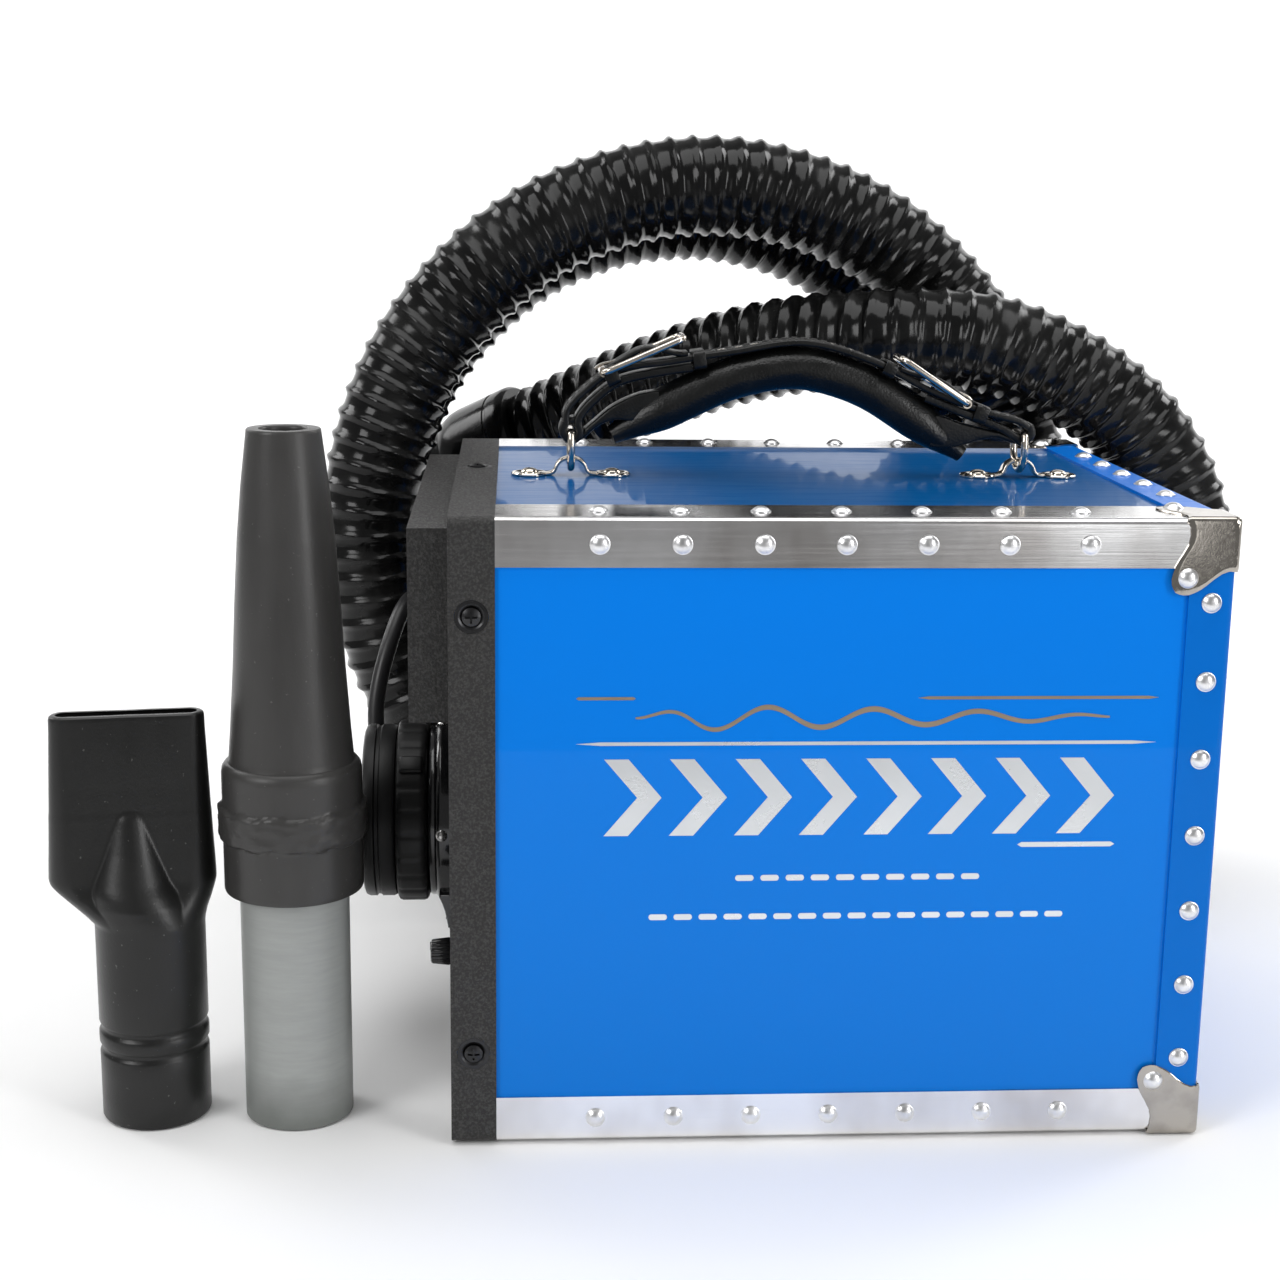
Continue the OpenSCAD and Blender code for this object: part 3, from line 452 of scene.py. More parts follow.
# Painted shade: the top panel gets a darker copy of the blue laminate.
SHADED_LID_BLUE = laminate_with_painted_shade("blue_laminate_lid", (0.0005, 0.084, 0.27), (0.0005, 0.08, 0.26), 0.012,
                           coat=0.27)
SPECIAL_FINISH = {"cap_screws": BLACK_SCREW, "filter_screws": BLACK_SCREW,
                  "corner_rivets": RIVET_METAL, "top_panel": SHADED_LID_BLUE}

for row in frame["record"]["subparts"]:
    mesh = frame["nodes"][row["node"]].data
    mesh.materials.clear()
    mesh.materials.append(SPECIAL_FINISH.get(row["node"], FINISH[row["material_slot"]]))

# ---- mesh helpers: shapes are written in millimetres ---------------------------------------


def finish_piece(name, bm, material, body, stands_for=(), smooth=True):
    """Turns a bmesh in millimetres into a piece in metres that rides on a body."""
    bmesh.ops.recalc_face_normals(bm, faces=bm.faces)
    bmesh.ops.scale(bm, vec=(MM, MM, MM), verts=bm.verts)
    mesh = bpy.data.meshes.new(name)
    bm.to_mesh(mesh)
    bm.free()
    return settle_piece(name, mesh, material, body, stands_for, smooth)


def settle_piece(name, mesh, material, body, stands_for=(), smooth=True):
    mesh.name = name
    mesh.materials.clear()
    mesh.materials.append(material)
    piece = bpy.data.objects.new(name, mesh)
    bpy.context.scene.collection.objects.link(piece)
    if smooth:
        mesh.shade_smooth()
        mesh.set_sharp_from_angle(angle=math.radians(38))
    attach(piece, body)
    if stands_for:
        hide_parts(*stands_for)
    return piece


def apply_modifiers(piece):
    """Keeps what the modifiers make as the piece's own mesh."""
    bpy.context.view_layer.update()
    made = bpy.data.meshes.new_from_object(
        piece.evaluated_get(bpy.context.evaluated_depsgraph_get()))
    old = piece.data
    piece.modifiers.clear()
    made.name = piece.name
    piece.data = made
    bpy.data.meshes.remove(old)


def add_rings(bm, rings, closed_round=True, cap=True, loop=False):
    """Joins rings of points with faces; cap fills both ends, loop joins last to first."""
    made = [[bm.verts.new(p) for p in ring] for ring in rings]
    n = len(made[0])
    pairs = list(zip(made, made[1:])) + ([(made[-1], made[0])] if loop else [])
    for low, high in pairs:
        for k in range(n if closed_round else n - 1):
            m = (k + 1) % n
            bm.faces.new((low[k], low[m], high[m], high[k]))
    if cap and not loop:
        bm.faces.new(made[0][::-1])
        bm.faces.new(made[-1])
    return made


def add_lathe(bm, profile, sides=64, place=Matrix(), cap=False, loop=False, wobble=None):
    """Turns (radius, height) pairs round Z. wobble(radius, height, angle) returns a radius."""
    rings = []
    for r, h in profile:
        ring = []
        for k in range(sides):
            a = TURN * k / sides
            q = wobble(r, h, a) if wobble else r
            ring.append(place @ Vector((q * math.cos(a), q * math.sin(a), h)))
        rings.append(ring)
    add_rings(bm, rings, cap=cap, loop=loop)


def add_sweep(bm, line, section, side=Vector((0, 1, 0)), cap=True, closed=False):
    """Sweeps section(i) = [(across, out)] along a line. across runs along side."""
    rings = []
    count = len(line)
    for i, p in enumerate(line):
        nxt, prv = (i + 1, i - 1) if closed else (min(i + 1, count - 1), max(i - 1, 0))
        t = (line[nxt % count] - line[prv % count]).normalized()
        out = side.cross(t).normalized()
        rings.append([p + side * a + out * o for a, o in section(i)])
    add_rings(bm, rings, cap=cap and not closed, loop=closed)


def round_section(radius, sides=12):
    return [(radius * math.cos(TURN * k / sides), radius * math.sin(TURN * k / sides))
            for k in range(sides)]


def slab_section(width, thick, edge, corner_steps=3):
    """A rectangle with rounded corners, as (across, out) points."""
    points = []
    for cx, cy, start in ((1, 1, 0), (-1, 1, 90), (-1, -1, 180), (1, -1, 270)):
        for k in range(corner_steps + 1):
            a = math.radians(start + 90 * k / corner_steps)
            points.append((cx * (width / 2 - edge) + edge * math.cos(a),
                           cy * (thick / 2 - edge) + edge * math.sin(a)))
    return points


def add_block(bm, low, high, bevel=0.4, place=Matrix(), segments=2):
    made = bmesh.ops.create_cube(bm, size=1.0)["verts"]
    low, high = Vector(low), Vector(high)
    size, middle = high - low, (high + low) / 2
    for v in made:
        v.co = Vector((v.co.x * size.x, v.co.y * size.y, v.co.z * size.z)) + middle
    edges = list({e for v in made for e in v.link_edges})
    if bevel:
        made = bmesh.ops.bevel(bm, geom=edges, offset=bevel, segments=segments,
                               affect="EDGES", profile=0.5)["verts"]
        whole, stack = set(made), list(made)
        while stack:
            for e in stack.pop().link_edges:
                for v in e.verts:
                    if v not in whole:
                        whole.add(v)
                        stack.append(v)
        made = list(whole)
    bmesh.ops.transform(bm, matrix=place, verts=list(made))


AXIS_X = Matrix.Rotation(math.radians(90), 4, "Y")

# ---- geometry-node trees --------------------------------------------------------------------


class Tree:
    """A geometry-node tree with named inputs."""

    def __init__(self, name, inputs):
        self.group = bpy.data.node_groups.new(name, "GeometryNodeTree")
        face = self.group.interface
        face.new_socket("Geometry", in_out="INPUT", socket_type="NodeSocketGeometry")
        for label, kind in inputs:
            face.new_socket(label, in_out="INPUT", socket_type="NodeSocket" + kind)
        face.new_socket("Geometry", in_out="OUTPUT", socket_type="NodeSocketGeometry")
        self.entry = self.group.nodes.new("NodeGroupInput")
        self.exit = self.group.nodes.new("NodeGroupOutput")

    def get(self, name):
        return self.entry.outputs[name]

    def add(self, kind, settings=None, inputs=None, out=0):
        made = self.group.nodes.new(kind)
        for name, value in (settings or {}).items():
            setattr(made, name, value)
        for name, value in (inputs or {}).items():
            if isinstance(value, bpy.types.NodeSocket):
                self.group.links.new(value, made.inputs[name])
            else:
                made.inputs[name].default_value = value
        return made.outputs[out]

    def math(self, operation, *terms):
        return self.add("ShaderNodeMath", {"operation": operation}, dict(enumerate(terms)))

    def end(self, geometry):
        real = self.add("GeometryNodeRealizeInstances", inputs={"Geometry": geometry})
        done = self.add("GeometryNodeSetMaterial", inputs={
            "Geometry": real, "Material": self.get("Finish")})
        self.group.links.new(done, self.exit.inputs[0])
        return self.group


def grow(name, data, group, values):
    """Runs a tree on a curve or mesh and returns its result as a plain mesh."""
    carrier = bpy.data.objects.new(name + "_carrier", data)
    bpy.context.scene.collection.objects.link(carrier)
    modifier = carrier.modifiers.new("grow", "NODES")
    modifier.node_group = group
    for item in group.interface.items_tree:
        if item.in_out == "INPUT" and item.name in values:
            modifier[item.identifier] = values[item.name]
    bpy.context.view_layer.update()
    made = bpy.data.meshes.new_from_object(
        carrier.evaluated_get(bpy.context.evaluated_depsgraph_get()))
    carrier.modifiers.remove(modifier)
    bpy.data.objects.remove(carrier)
    return made


def path_curve(name, points):
    curve = bpy.data.curves.new(name, "CURVE")
    curve.dimensions = "3D"
    spline = curve.splines.new("POLY")
    spline.points.add(len(points) - 1)
    for place, p in zip(spline.points, points):
        place.co = (*(p * MM), 1)
    return curve


def point_mesh(name, rows):
    """Loose points in metres, each with a direction and a normal that its copy follows."""
    mesh = bpy.data.meshes.new(name)
    mesh.from_pydata([p * MM for p, _, _ in rows], [], [])
    for label, pick in (("along", 1), ("normal_way", 2)):
        layer = mesh.attributes.new(label, "FLOAT_VECTOR", "POINT")
        for k, row in enumerate(rows):
            layer.data[k].vector = row[pick]
    return mesh


def ribbed_hose_tree():
    """A tube along a curve whose wall rises in one crest for each pitch, wound as a helix."""
    t = Tree("ribbed_hose", [("Valley radius", "Float"), ("Rib height", "Float"),
                             ("Pitch", "Float"), ("Crest", "Float"), ("Sides", "Int"),
                             ("Finish", "Material")])
    fine = t.add("GeometryNodeResampleCurve", {"mode": "LENGTH"}, {
        "Curve": t.get("Geometry"), "Length": t.math("DIVIDE", t.get("Pitch"), 9.0)})
    ring = t.add("GeometryNodeCurvePrimitiveCircle", inputs={
        "Resolution": t.get("Sides"), "Radius": t.get("Valley radius")})
    marks = []
    for geometry, pick in ((fine, "Length"), (ring, "Factor")):
        node = t.group.nodes.new("GeometryNodeCaptureAttribute")
        node.capture_items.new("FLOAT", "mark")
        t.group.links.new(geometry, node.inputs["Geometry"])
        t.group.links.new(t.add("GeometryNodeSplineParameter", out=pick), node.inputs[1])
        marks.append((node.outputs[0], node.outputs[1]))
    (path, along), (profile, around) = marks
    tube = t.add("GeometryNodeCurveToMesh", inputs={
        "Curve": path, "Profile Curve": profile, "Fill Caps": True})
    turns = t.math("ADD", t.math("DIVIDE", along, t.get("Pitch")), around)
    wave = t.math("ADD", t.math("MULTIPLY", t.math(
        "COSINE", t.math("MULTIPLY", turns, TURN)), 0.5), 0.5)
    rise = t.math("MULTIPLY", t.math("POWER", wave, t.get("Crest")), t.get("Rib height"))
    out = t.add("ShaderNodeVectorMath", {"operation": "SCALE"}, {
        "Vector": t.add("GeometryNodeInputNormal"), "Scale": rise})
    shaped = t.add("GeometryNodeSetPosition", inputs={"Geometry": tube, "Offset": out})
    return t.end(t.add("GeometryNodeSetShadeSmooth", inputs={"Geometry": shaped}))


def repeat_tree():
    """Puts a copy of a small object at each point, turned to the point's two directions."""
    t = Tree("repeat_on_points", [("Copy", "Object"), ("Finish", "Material")])
    item = t.add("GeometryNodeObjectInfo", inputs={"Object": t.get("Copy")}, out="Geometry")
    named = [t.add("GeometryNodeInputNamedAttribute", {"data_type": "FLOAT_VECTOR"},
                   {"Name": label}) for label in ("along", "normal_way")]
    turn = t.add("FunctionNodeAxesToRotation", {"primary_axis": "X", "secondary_axis": "Z"},
                 {"Primary Axis": named[0], "Secondary Axis": named[1]})
    copies = t.add("GeometryNodeInstanceOnPoints", inputs={
        "Points": t.get("Geometry"), "Instance": item, "Rotation": turn})
    return t.end(copies)


REPEAT = repeat_tree()


def repeated(name, bm, rows, material, body, stands_for=()):
    """Copies one small shape, made in bm along its X with +Z outwards, to every row."""
    bmesh.ops.recalc_face_normals(bm, faces=bm.faces)
    bmesh.ops.scale(bm, vec=(MM, MM, MM), verts=bm.verts)
    small = bpy.data.meshes.new(name + "_one")
    bm.to_mesh(small)
    bm.free()
    pattern = bpy.data.objects.new(name + "_one", small)
    made = grow(name, point_mesh(name, rows), REPEAT, {"Copy": pattern, "Finish": material})
    bpy.data.objects.remove(pattern)
    return settle_piece(name, made, material, body, stands_for)


# ---- air hose and cuffs ---------------------------------------------------------------------

hose_path = even_line(hose_line, 6.0)
hose_mesh = grow("air_hose", path_curve("hose_path", hose_path), ribbed_hose_tree(), {
    "Valley radius": 24.0 * MM, "Rib height": 2.0 * MM, "Pitch": 10.7 * MM, "Crest": 3.0,
    "Sides": 30, "Finish": FINISH["hose_plastic"]})
hose = settle_piece("ribbed_air_hose", hose_mesh, FINISH["hose_plastic"], "case",
                    ("air_hose",))


def add_cuff(bm, at, away):
    place = Matrix.Translation(at) @ away.to_track_quat("Z", "Y").to_matrix().to_4x4()
    outside = [(24.5, -5.5), (28.6, -5.0), (30.2, -3.2), (30.5, 0), (30.5, 5), (30.0, 5.6),
               (30.0, 7.0), (30.5, 7.6), (30.5, 29), (30.0, 34), (28.6, 38.2), (27.6, 39.6),
               (27.15, 41), (27.15, 62.6), (26.6, 63.8), (25.4, 64), (22.9, 64), (22.1, 63.2),
               (22.1, 6.0), (21.4, 4.0), (21.4, -5.0)]
    add_lathe(bm, outside, 72, place, loop=True)


for label, at, away in (("near", hose_line[0], hose_line[0] - hose_line[4]),
                        ("far", hose_line[-1], hose_line[-1] - hose_line[-5])):
    bm = bmesh.new()
    add_cuff(bm, at, away.normalized())
    finish_piece(label + "_hose_cuff", bm, FINISH["hose_plastic"], "case",
                              ("hose_cuffs",))
hose_line[0] * MM
[p * MM for p in hose_path]

# ---- power cord, coil, tie and plug ---------------------------------------------------------

cord_path = even_line(cord_line, 3.5)
bm = bmesh.new()
up = Vector((0.5, -1, 0.5)).normalized()
rings = []
for i, p in enumerate(cord_path):
    t = (cord_path[min(i + 1, len(cord_path) - 1)] - cord_path[max(i - 1, 0)]).normalized()
    up = (up - t * up.dot(t)).normalized()
    side = t.cross(up)
    rings.append([p + CORD_D / 2 * (math.cos(TURN * k / 16) * up
                                    + math.sin(TURN * k / 16) * side) for k in range(16)])
add_rings(bm, rings)
cord = finish_piece("power_lead", bm, FINISH["cord_rubber"], "case",
                    ("power_cord", "power_cord_coil"))

PLUG_Z = 111.5
bm = bmesh.new()
plug_rings = []
for x, half_y, half_z, edge in (
        (-56, 13.2, 13.2, 2.5), (-55, 14, 14, 3), (-42, 14, 14, 3.5), (-38, 12.6, 12.6, 4.0),
        (-34, 12.6, 12.6, 4.0), (-30, 13.6, 13.6, 4.5), (-20, 12.4, 12.4, 5.5),
        (-15, 9.6, 9.6, 7.0), (-13, 8.4, 8.4, 7.6), (-11, 8.2, 8.2, 7.6), (-9.5, 7.2, 7.2, 6.8),
        (-7.5, 7.2, 7.2, 6.8), (-6, 7.6, 7.6, 7.0), (-4.5, 6.4, 6.4, 6.1), (-2.5, 6.4, 6.4, 6.1),
        (-1, 6.6, 6.6, 6.2), (1, 5.6, 5.6, 5.3), (3, 5.5, 5.5, 5.2), (6, 4.9, 4.9, 4.7)):
    plug_rings.append([Vector((x, 210 + a, PLUG_Z + o))
                       for a, o in slab_section(2 * half_y, 2 * half_z, edge, 5)])
add_rings(bm, plug_rings)
plug = finish_piece("moulded_plug", bm, FINISH["cord_rubber"], "case",
                    ("power_plug",))

bm = bmesh.new()
tie_angle = math.radians(150)
outward = Vector((math.cos(tie_angle), math.sin(tie_angle), 0))
round_way = Vector((-outward.y, outward.x, 0))
tie_middle = COIL_CENTRE + outward * COIL_R
tie_loop = []
for a, o in slab_section(29.5, 29.5, 6.0, 6):
    tie_loop.append(tie_middle + outward * a + Vector((0, 0, o)))
add_sweep(bm, tie_loop, lambda i: slab_section(18, 1.4, 0.5, 2), side=round_way, closed=True)
tie = finish_piece("coil_tie", bm, TIE_CLOTH, "case")
cord_line[0] * MM
round(length_of(cord_path) * MM, 2)
[p * MM for p in cord_path]

# ---- handle: grip, strap, loops, buckles, rings and brackets --------------------------------

HINGE_Z = 267.2
GRIP_LINE = [(-84, 4, 0), (-60, 1, 0.5), (-30, 0, 0.97), (-2, 0, 1.1), (24, 0, 0.87),
             (48, 0, 0.4), (70, -3.5, 0)]
GRIP_RISE = 30
GRIP_D = 18
STRAP_W = 15
STRAP_T = 3
LEFT_BAR, RIGHT_BAR, BAR_Z = -102, 96, HINGE_Z + 6
ACROSS = Vector((0, 1, 0))

grip_points = [Vector((x, 0, HINGE_Z + z + share * GRIP_RISE)) for x, z, share in GRIP_LINE]


def flat_point(x, z):
    return Vector((x, 0, z))


def strap_points():
    lift = GRIP_D / 2 + STRAP_T / 2 + 1.7
    start = [(-2, 3), (-1.5, 10), (7, 19), (19, 27), (41, 30.5)]
    finish = [(-42, 19), (-17, 9.5), (-3, 6), (2, 3)]
    middle = []
    for i in (2, 3, 4):
        t = (grip_points[i + 1] - grip_points[i - 1]).normalized()
        middle.append(grip_points[i] + lift * Vector((-t.z, 0, t.x)))
    return ([flat_point(LEFT_BAR + x, BAR_Z + z) for x, z in start] + middle
            + [flat_point(RIGHT_BAR + x, BAR_Z + z) for x, z in finish])


strap_line = even_line(smooth_line(strap_points(), 10), 1.5)


def out_of(line, i):
    """Direction along the line at point i, and the way up from it."""
    t = (line[min(i + 1, len(line) - 1)] - line[max(i - 1, 0)]).normalized()
    return t, Vector((-t.z, 0, t.x))


def nearest(line, x):
    return min(range(len(line)), key=lambda i: abs(line[i].x - x))


# The padded grip: a stuffed leather roll with a flattened top and a welted seam below.
grip_line = even_line(smooth_line(grip_points, 10), 1.6)
bm = bmesh.new()


def grip_section(i):
    last = len(grip_line) - 1
    end = min(i, last - i) / 17
    full = 0.42 + 0.58 * ease(end) ** 0.7
    points = []
    for k in range(40):
        a = TURN * k / 40
        across, out = math.cos(a), math.sin(a)
        r = 9.4 * full
        welt = 0.7 * math.exp(-((abs(a - 1.5 * math.pi)) / 0.16) ** 2)
        p = grip_line[i] * 0.09 + Vector((across, out, 0.3)) * 1.7
        crease = 0.26 * noise.noise(p) + 0.08 * noise.noise(p * 2.7)
        squash = 0.9 if out > 0 else 1.0
        points.append(((r + crease + welt) * across, (r + crease + welt) * out * squash))
    return points


add_sweep(bm, grip_line, grip_section, ACROSS)
grip = finish_piece("padded_grip", bm, FINISH["leather"], "handle",
                    ("handle_grip",))

# Tails of the grip: its cover flattens out, runs to the ring and folds round its bar.
bm = bmesh.new()
for route in ([(-64, 284.0), (-74, 283.4), (-84, 281.2), (-92, 276.4), (-98.2, 271.0),
               (-103.2, 270.4), (-105.6, 273.4), (-104.6, 277.2), (-100.6, 278.4)],
              [(56, 274.6), (66, 273.0), (76, 273.2), (85, 272.8), (92.0, 270.6), (97.2, 270.5),
               (99.8, 273.4), (98.6, 277.0), (94.4, 278.2)]):
    tail = even_line(smooth_line([flat_point(x, z) for x, z in route], 8), 1.2)

    def tail_section(i):
        share = ease(i / (len(tail) - 1) * 1.8)
        return slab_section(STRAP_W * (0.84 - 0.04 * share), 14.5 - 11.7 * share, 1.2, 4)

    add_sweep(bm, tail, tail_section, ACROSS)
finish_piece("grip_tails", bm, FINISH["leather"], "handle")

# The strap, with a loop back under each end and a keeper over both layers.
bm = bmesh.new()
add_sweep(bm, strap_line, lambda i: slab_section(
    STRAP_W - 0.5 * math.sin(strap_line[i].x * 0.11) ** 2, STRAP_T - 0.2, 1.0, 4), ACROSS)
LEFT_LOOP = [(-104.6, 277.5), (-105.6, 273.4), (-102, 269.7), (-98.4, 272.6), (-98.8, 279),
             (-92.6, 286.8), (-82, 294.8), (-68, 298.6), (-50, 301.4)]
RIGHT_LOOP = [(98.6, 277), (99.6, 273.4), (96, 269.7), (92.3, 272.3), (87, 275.6), (78, 279),
              (66, 283.6), (52, 289)]
for route in (LEFT_LOOP, RIGHT_LOOP):
    loop = even_line(smooth_line([flat_point(x, z) for x, z in route], 8), 1.2)
    add_sweep(bm, loop, lambda i: slab_section(STRAP_W - 0.6, 3.6, 1.0, 3), ACROSS)


def add_keeper(bm, line, x, width, height, drop):
    i = nearest(line, x)
    t, up = out_of(line, i)
    middle = line[i] - up * drop
    ring = [middle + ACROSS * a + up * o for a, o in slab_section(17.2, height, 1.6, 5)]
    add_sweep(bm, ring, lambda k: slab_section(width, 1.1, 0.4, 2), side=t, closed=True)


add_keeper(bm, strap_line, -86, 6.0, 7.6, 1.6)
add_keeper(bm, strap_line, -47, 5.5, 7.0, 1.2)
add_keeper(bm, strap_line, 36, 5.5, 5.6, 0.2)
add_keeper(bm, strap_line, 77, 6.0, 7.2, 1.4)
strap = finish_piece("leather_strap", bm, FINISH["leather"], "handle",
                     ("handle_strap",))

# The strap's free tongue that stands up in a soft bulge under each buckle's far bar.
bm = bmesh.new()
for x0, x1, peak in ((-86, -52, 4.6), (40, 73, 3.4)):
    i0, i1 = nearest(strap_line, x0), nearest(strap_line, x1)
    bulge = []
    for i in range(i0, i1 + 1):
        share = (i - i0) / (i1 - i0)
        t, up = out_of(strap_line, i)
        bulge.append(strap_line[i] + up * (2.1 + peak * math.sin(math.pi * share) ** 2))
    add_sweep(bm, bulge, lambda i: slab_section(STRAP_W - 1.2, 2.0, 0.8, 3), ACROSS)
finish_piece("strap_tongues", bm, FINISH["leather"], "handle")

rows = []
for side in (-1, 1):
    spaced_out = even_line(strap_line, 4.2)
    for i, p in enumerate(spaced_out[1:-1], 1):
        if -50 < p.x < 38 or p.x > 76 or p.x < -88:
            t, up = out_of(spaced_out, i)
            rows.append((p + ACROSS * side * 5.6 + up * 1.42, t, up))
bm = bmesh.new()
add_block(bm, (-1.45, -0.38, -0.25), (1.45, 0.38, 0.32), 0.24, segments=1)
repeated("strap_stitches", bm, rows, THREAD, "handle")

rows = []
for first, count, step in ((-45, 4, 7.5), (12, 3, 7.5)):
    for k in range(count):
        i = nearest(strap_line, first + k * step)
        t, up = out_of(strap_line, i)
        rows.append((strap_line[i] + up * 1.36, t, up))
bm = bmesh.new()
add_lathe(bm, [(0.9, -0.3), (0.95, 0.12), (1.7, 0.16), (2.1, -0.05), (2.0, -0.3)], 14, loop=True)
repeated("strap_eyelets", bm, rows, DARK_NICKEL, "handle")


def add_wire(bm, line, radius, closed=False, side=None, sides=12):
    """A round wire along a line that lies in one plane; side is across that plane."""
    add_sweep(bm, line, lambda i: round_section(radius, sides), side=side, closed=closed)


def add_buckle(bm, x, tilt, along, roller_at):
    """A roller buckle on the strap at x, its frame lifted by tilt degrees."""
    i = nearest(strap_line, x)
    t, up = out_of(strap_line, i)
    turn = Matrix.Rotation(-math.radians(tilt), 3, "Y")
    t, up = turn @ t, turn @ up
    at = strap_line[i] + up * 4.4
    frame_line = [at + t * a + ACROSS * o for a, o in slab_section(along, 21.5, 3.2, 5)]
    add_wire(bm, frame_line, 1.5, True, side=up)
    for place, radius, half in ((0.0, 1.1, 10.5), (roller_at * along / 2, 2.05, 8.0)):
        bar = [at + t * place + ACROSS * o for o in (-half, -half / 2, 0, half / 2, half)]
        add_sweep(bm, bar, lambda k: round_section(radius, 14), side=up)
    tongue = [at + t * (roller_at * s * along / 2) + up * h
              for s, h in ((-0.12, 1.2), (0.2, 1.5), (0.6, 1.7), (0.98, 2.9), (1.16, 2.2))]
    add_sweep(bm, smooth_line(tongue, 4), lambda k: slab_section(2.6, 1.3, 0.5, 2), ACROSS)


bm = bmesh.new()
add_buckle(bm, -70, 17, 37, -1)
add_buckle(bm, 53, -9, 35, 1)
finish_piece("roller_buckles", bm, DARK_NICKEL, "handle", ("handle_rings",))

bm = bmesh.new()
for x in (LEFT_BAR, RIGHT_BAR):
    ring_line = []
    for k in range(25):
        a = math.pi + math.pi * k / 24
        ring_line.append(Vector((x, 10 * math.cos(a), HINGE_Z + 10 * math.sin(a))))
    for y, z in ((10, 3), (9.6, 5), (8, 6), (4, 6), (0, 6), (-4, 6), (-8, 6), (-9.6, 5), (-10, 3)):
        ring_line.append(Vector((x, y, HINGE_Z + z)))
    add_wire(bm, ring_line, 1.6, True, side=Vector((1, 0, 0)), sides=14)
finish_piece("d_rings", bm, DARK_NICKEL, "handle")

# Bracket plates: two round pads with a domed head on each, and a pressed arch.
panel_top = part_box("top_panel")[1].z / MM


bm = bmesh.new()
for x in (LEFT_BAR, RIGHT_BAR):
    base = Matrix.Translation((x, 0, panel_top))
    for side in (-1, 1):
        pad = base @ Matrix.Translation((side * 18, 0, 0))
        add_lathe(bm, [(0.02, 0.0), (7.6, 0.0), (8.0, 0.4), (8.0, 1.0), (7.5, 1.5), (6.3, 1.5),
                       (5.6, 1.15), (4.2, 1.05), (3.9, 1.2), (3.7, 1.9), (2.9, 2.7), (1.6, 3.2),
                       (0.02, 3.35)], 40, pad, cap=True)
    arch = [(-15, 0.75), (-11.5, 0.8), (-8.6, 1.1), (-7.0, 2.4), (-6.1, 4.6), (-4.3, 6.6),
            (-1.6, 7.7), (1.6, 7.7), (4.3, 6.6), (6.1, 4.6), (7.0, 2.4), (8.6, 1.1),
            (11.5, 0.8), (15, 0.75)]
    arch_line = smooth_line([Vector((x + a, 0, panel_top + z)) for a, z in arch], 3)
    add_sweep(bm, arch_line, lambda i: slab_section(7.0, 1.4, 0.5, 3), ACROSS)
finish_piece("bracket_plates", bm, DARK_NICKEL, "case",
             ("handle_brackets", "bracket_rivets"))

# ---- pressed corner protectors ---------------------------------------------------------------

CORNER_REACH = [(0, 21.6), (12, 20.8), (21, 21.4), (28, 23.4), (33, 27), (37, 31.6), (42, 36.0),
                (46, 38.0), (50, 38.7), (54, 38.0), (58, 36.0), (63, 31.6), (67, 27),
                (72, 23.6), (79, 21.6), (90, 21.6)]


def corner_reach(angle):
    for (a, ra), (b, rb) in zip(CORNER_REACH, CORNER_REACH[1:]):
        if angle <= b:
            return ra + (rb - ra) * (angle - a) / (b - a)
    return CORNER_REACH[-1][1]


def corner_rays():
    """Rays from the corner over its three faces, as (first axis, second axis, angle)."""
    x, y, z = Vector((1, 0, 0)), Vector((0, 1, 0)), Vector((0, 0, 1))
    steps = [k * 2.5 for k in range(36)]
    rays = [(x, z, a) for a in steps]
    rays += [(y, z, 90 - a) for a in steps]
    rays += [(x, y, 90 - a) for a in steps]
    return rays


def pressed(p, r=2.2):
    """Rounds the edges and the tip of a square corner at the origin."""
    gap = Vector([max(r - c, 0.0) for c in p])
    if sum(1 for c in gap if c > 0) < 2:
        return p
    inner = Vector([max(c, r) for c in p])
    return inner - gap.normalized() * r


def add_corner(bm, corner, inward):
    rings = [[] for _ in range(15)]
    for first, second, angle in corner_rays():
        reach = corner_reach(angle)
        way = first * math.cos(math.radians(angle)) + second * math.sin(math.radians(angle))
        for j, ring in enumerate(rings):
            share = (j + 1) / len(rings)
            p = pressed(way * reach * share)
            lip = 0.35 * ease((share - 0.93) / 0.07)
            flat = Vector([1.0 if c < 1e-6 else 0.0 for c in way * reach])
            p = p + flat * lip
            q = p - Vector((1, 1, 1))
            ring.append(corner + Vector((q.x * inward.x, q.y * inward.y, q.z * inward.z)))
    tip = pressed(Vector((0, 0, 0))) - Vector((1, 1, 1))
    peak = bm.verts.new(corner + Vector((tip.x * inward.x, tip.y * inward.y, tip.z * inward.z)))
    made = add_rings(bm, rings, cap=False)
    for k in range(len(made[0])):
        bm.faces.new((peak, made[0][k], made[0][(k + 1) % len(made[0])]))


case_low, case_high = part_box("control_cap")
body_high_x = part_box("end_trim_top")[1].x / MM
y_edge, z_low, z_high = case_high.y / MM, case_low.z / MM, case_high.z / MM
for y_side, label in ((-1, "front"), (1, "back")):
    for z_edge, z_way, level in ((z_low, 1, "lower"), (z_high, -1, "upper")):
        bm = bmesh.new()
        add_corner(bm, Vector((body_high_x, y_side * y_edge, z_edge)),
                   Vector((-1, -y_side, z_way)))
        piece = finish_piece(f"corner_{level}_{label}", bm, FINISH["corner_chrome"], "case",
                             ("corner_protectors",))
        middle = Vector((0, 0, z_way))
        poly = piece.data.polygons[len(piece.data.polygons) // 2]
        away = Vector((body_high_x - 12, y_side * (y_edge - 12), z_edge + z_way * 12)) * MM
        if poly.normal.dot(Vector(poly.center) - away) < 0:
            piece.data.flip_normals()
        thick = piece.modifiers.new("thick", "SOLIDIFY")
        thick.thickness = 0.9 * MM
        thick.offset = -1
        apply_modifiers(piece)
        piece.data.shade_smooth()
        piece.data.set_sharp_from_angle(angle=math.radians(50))

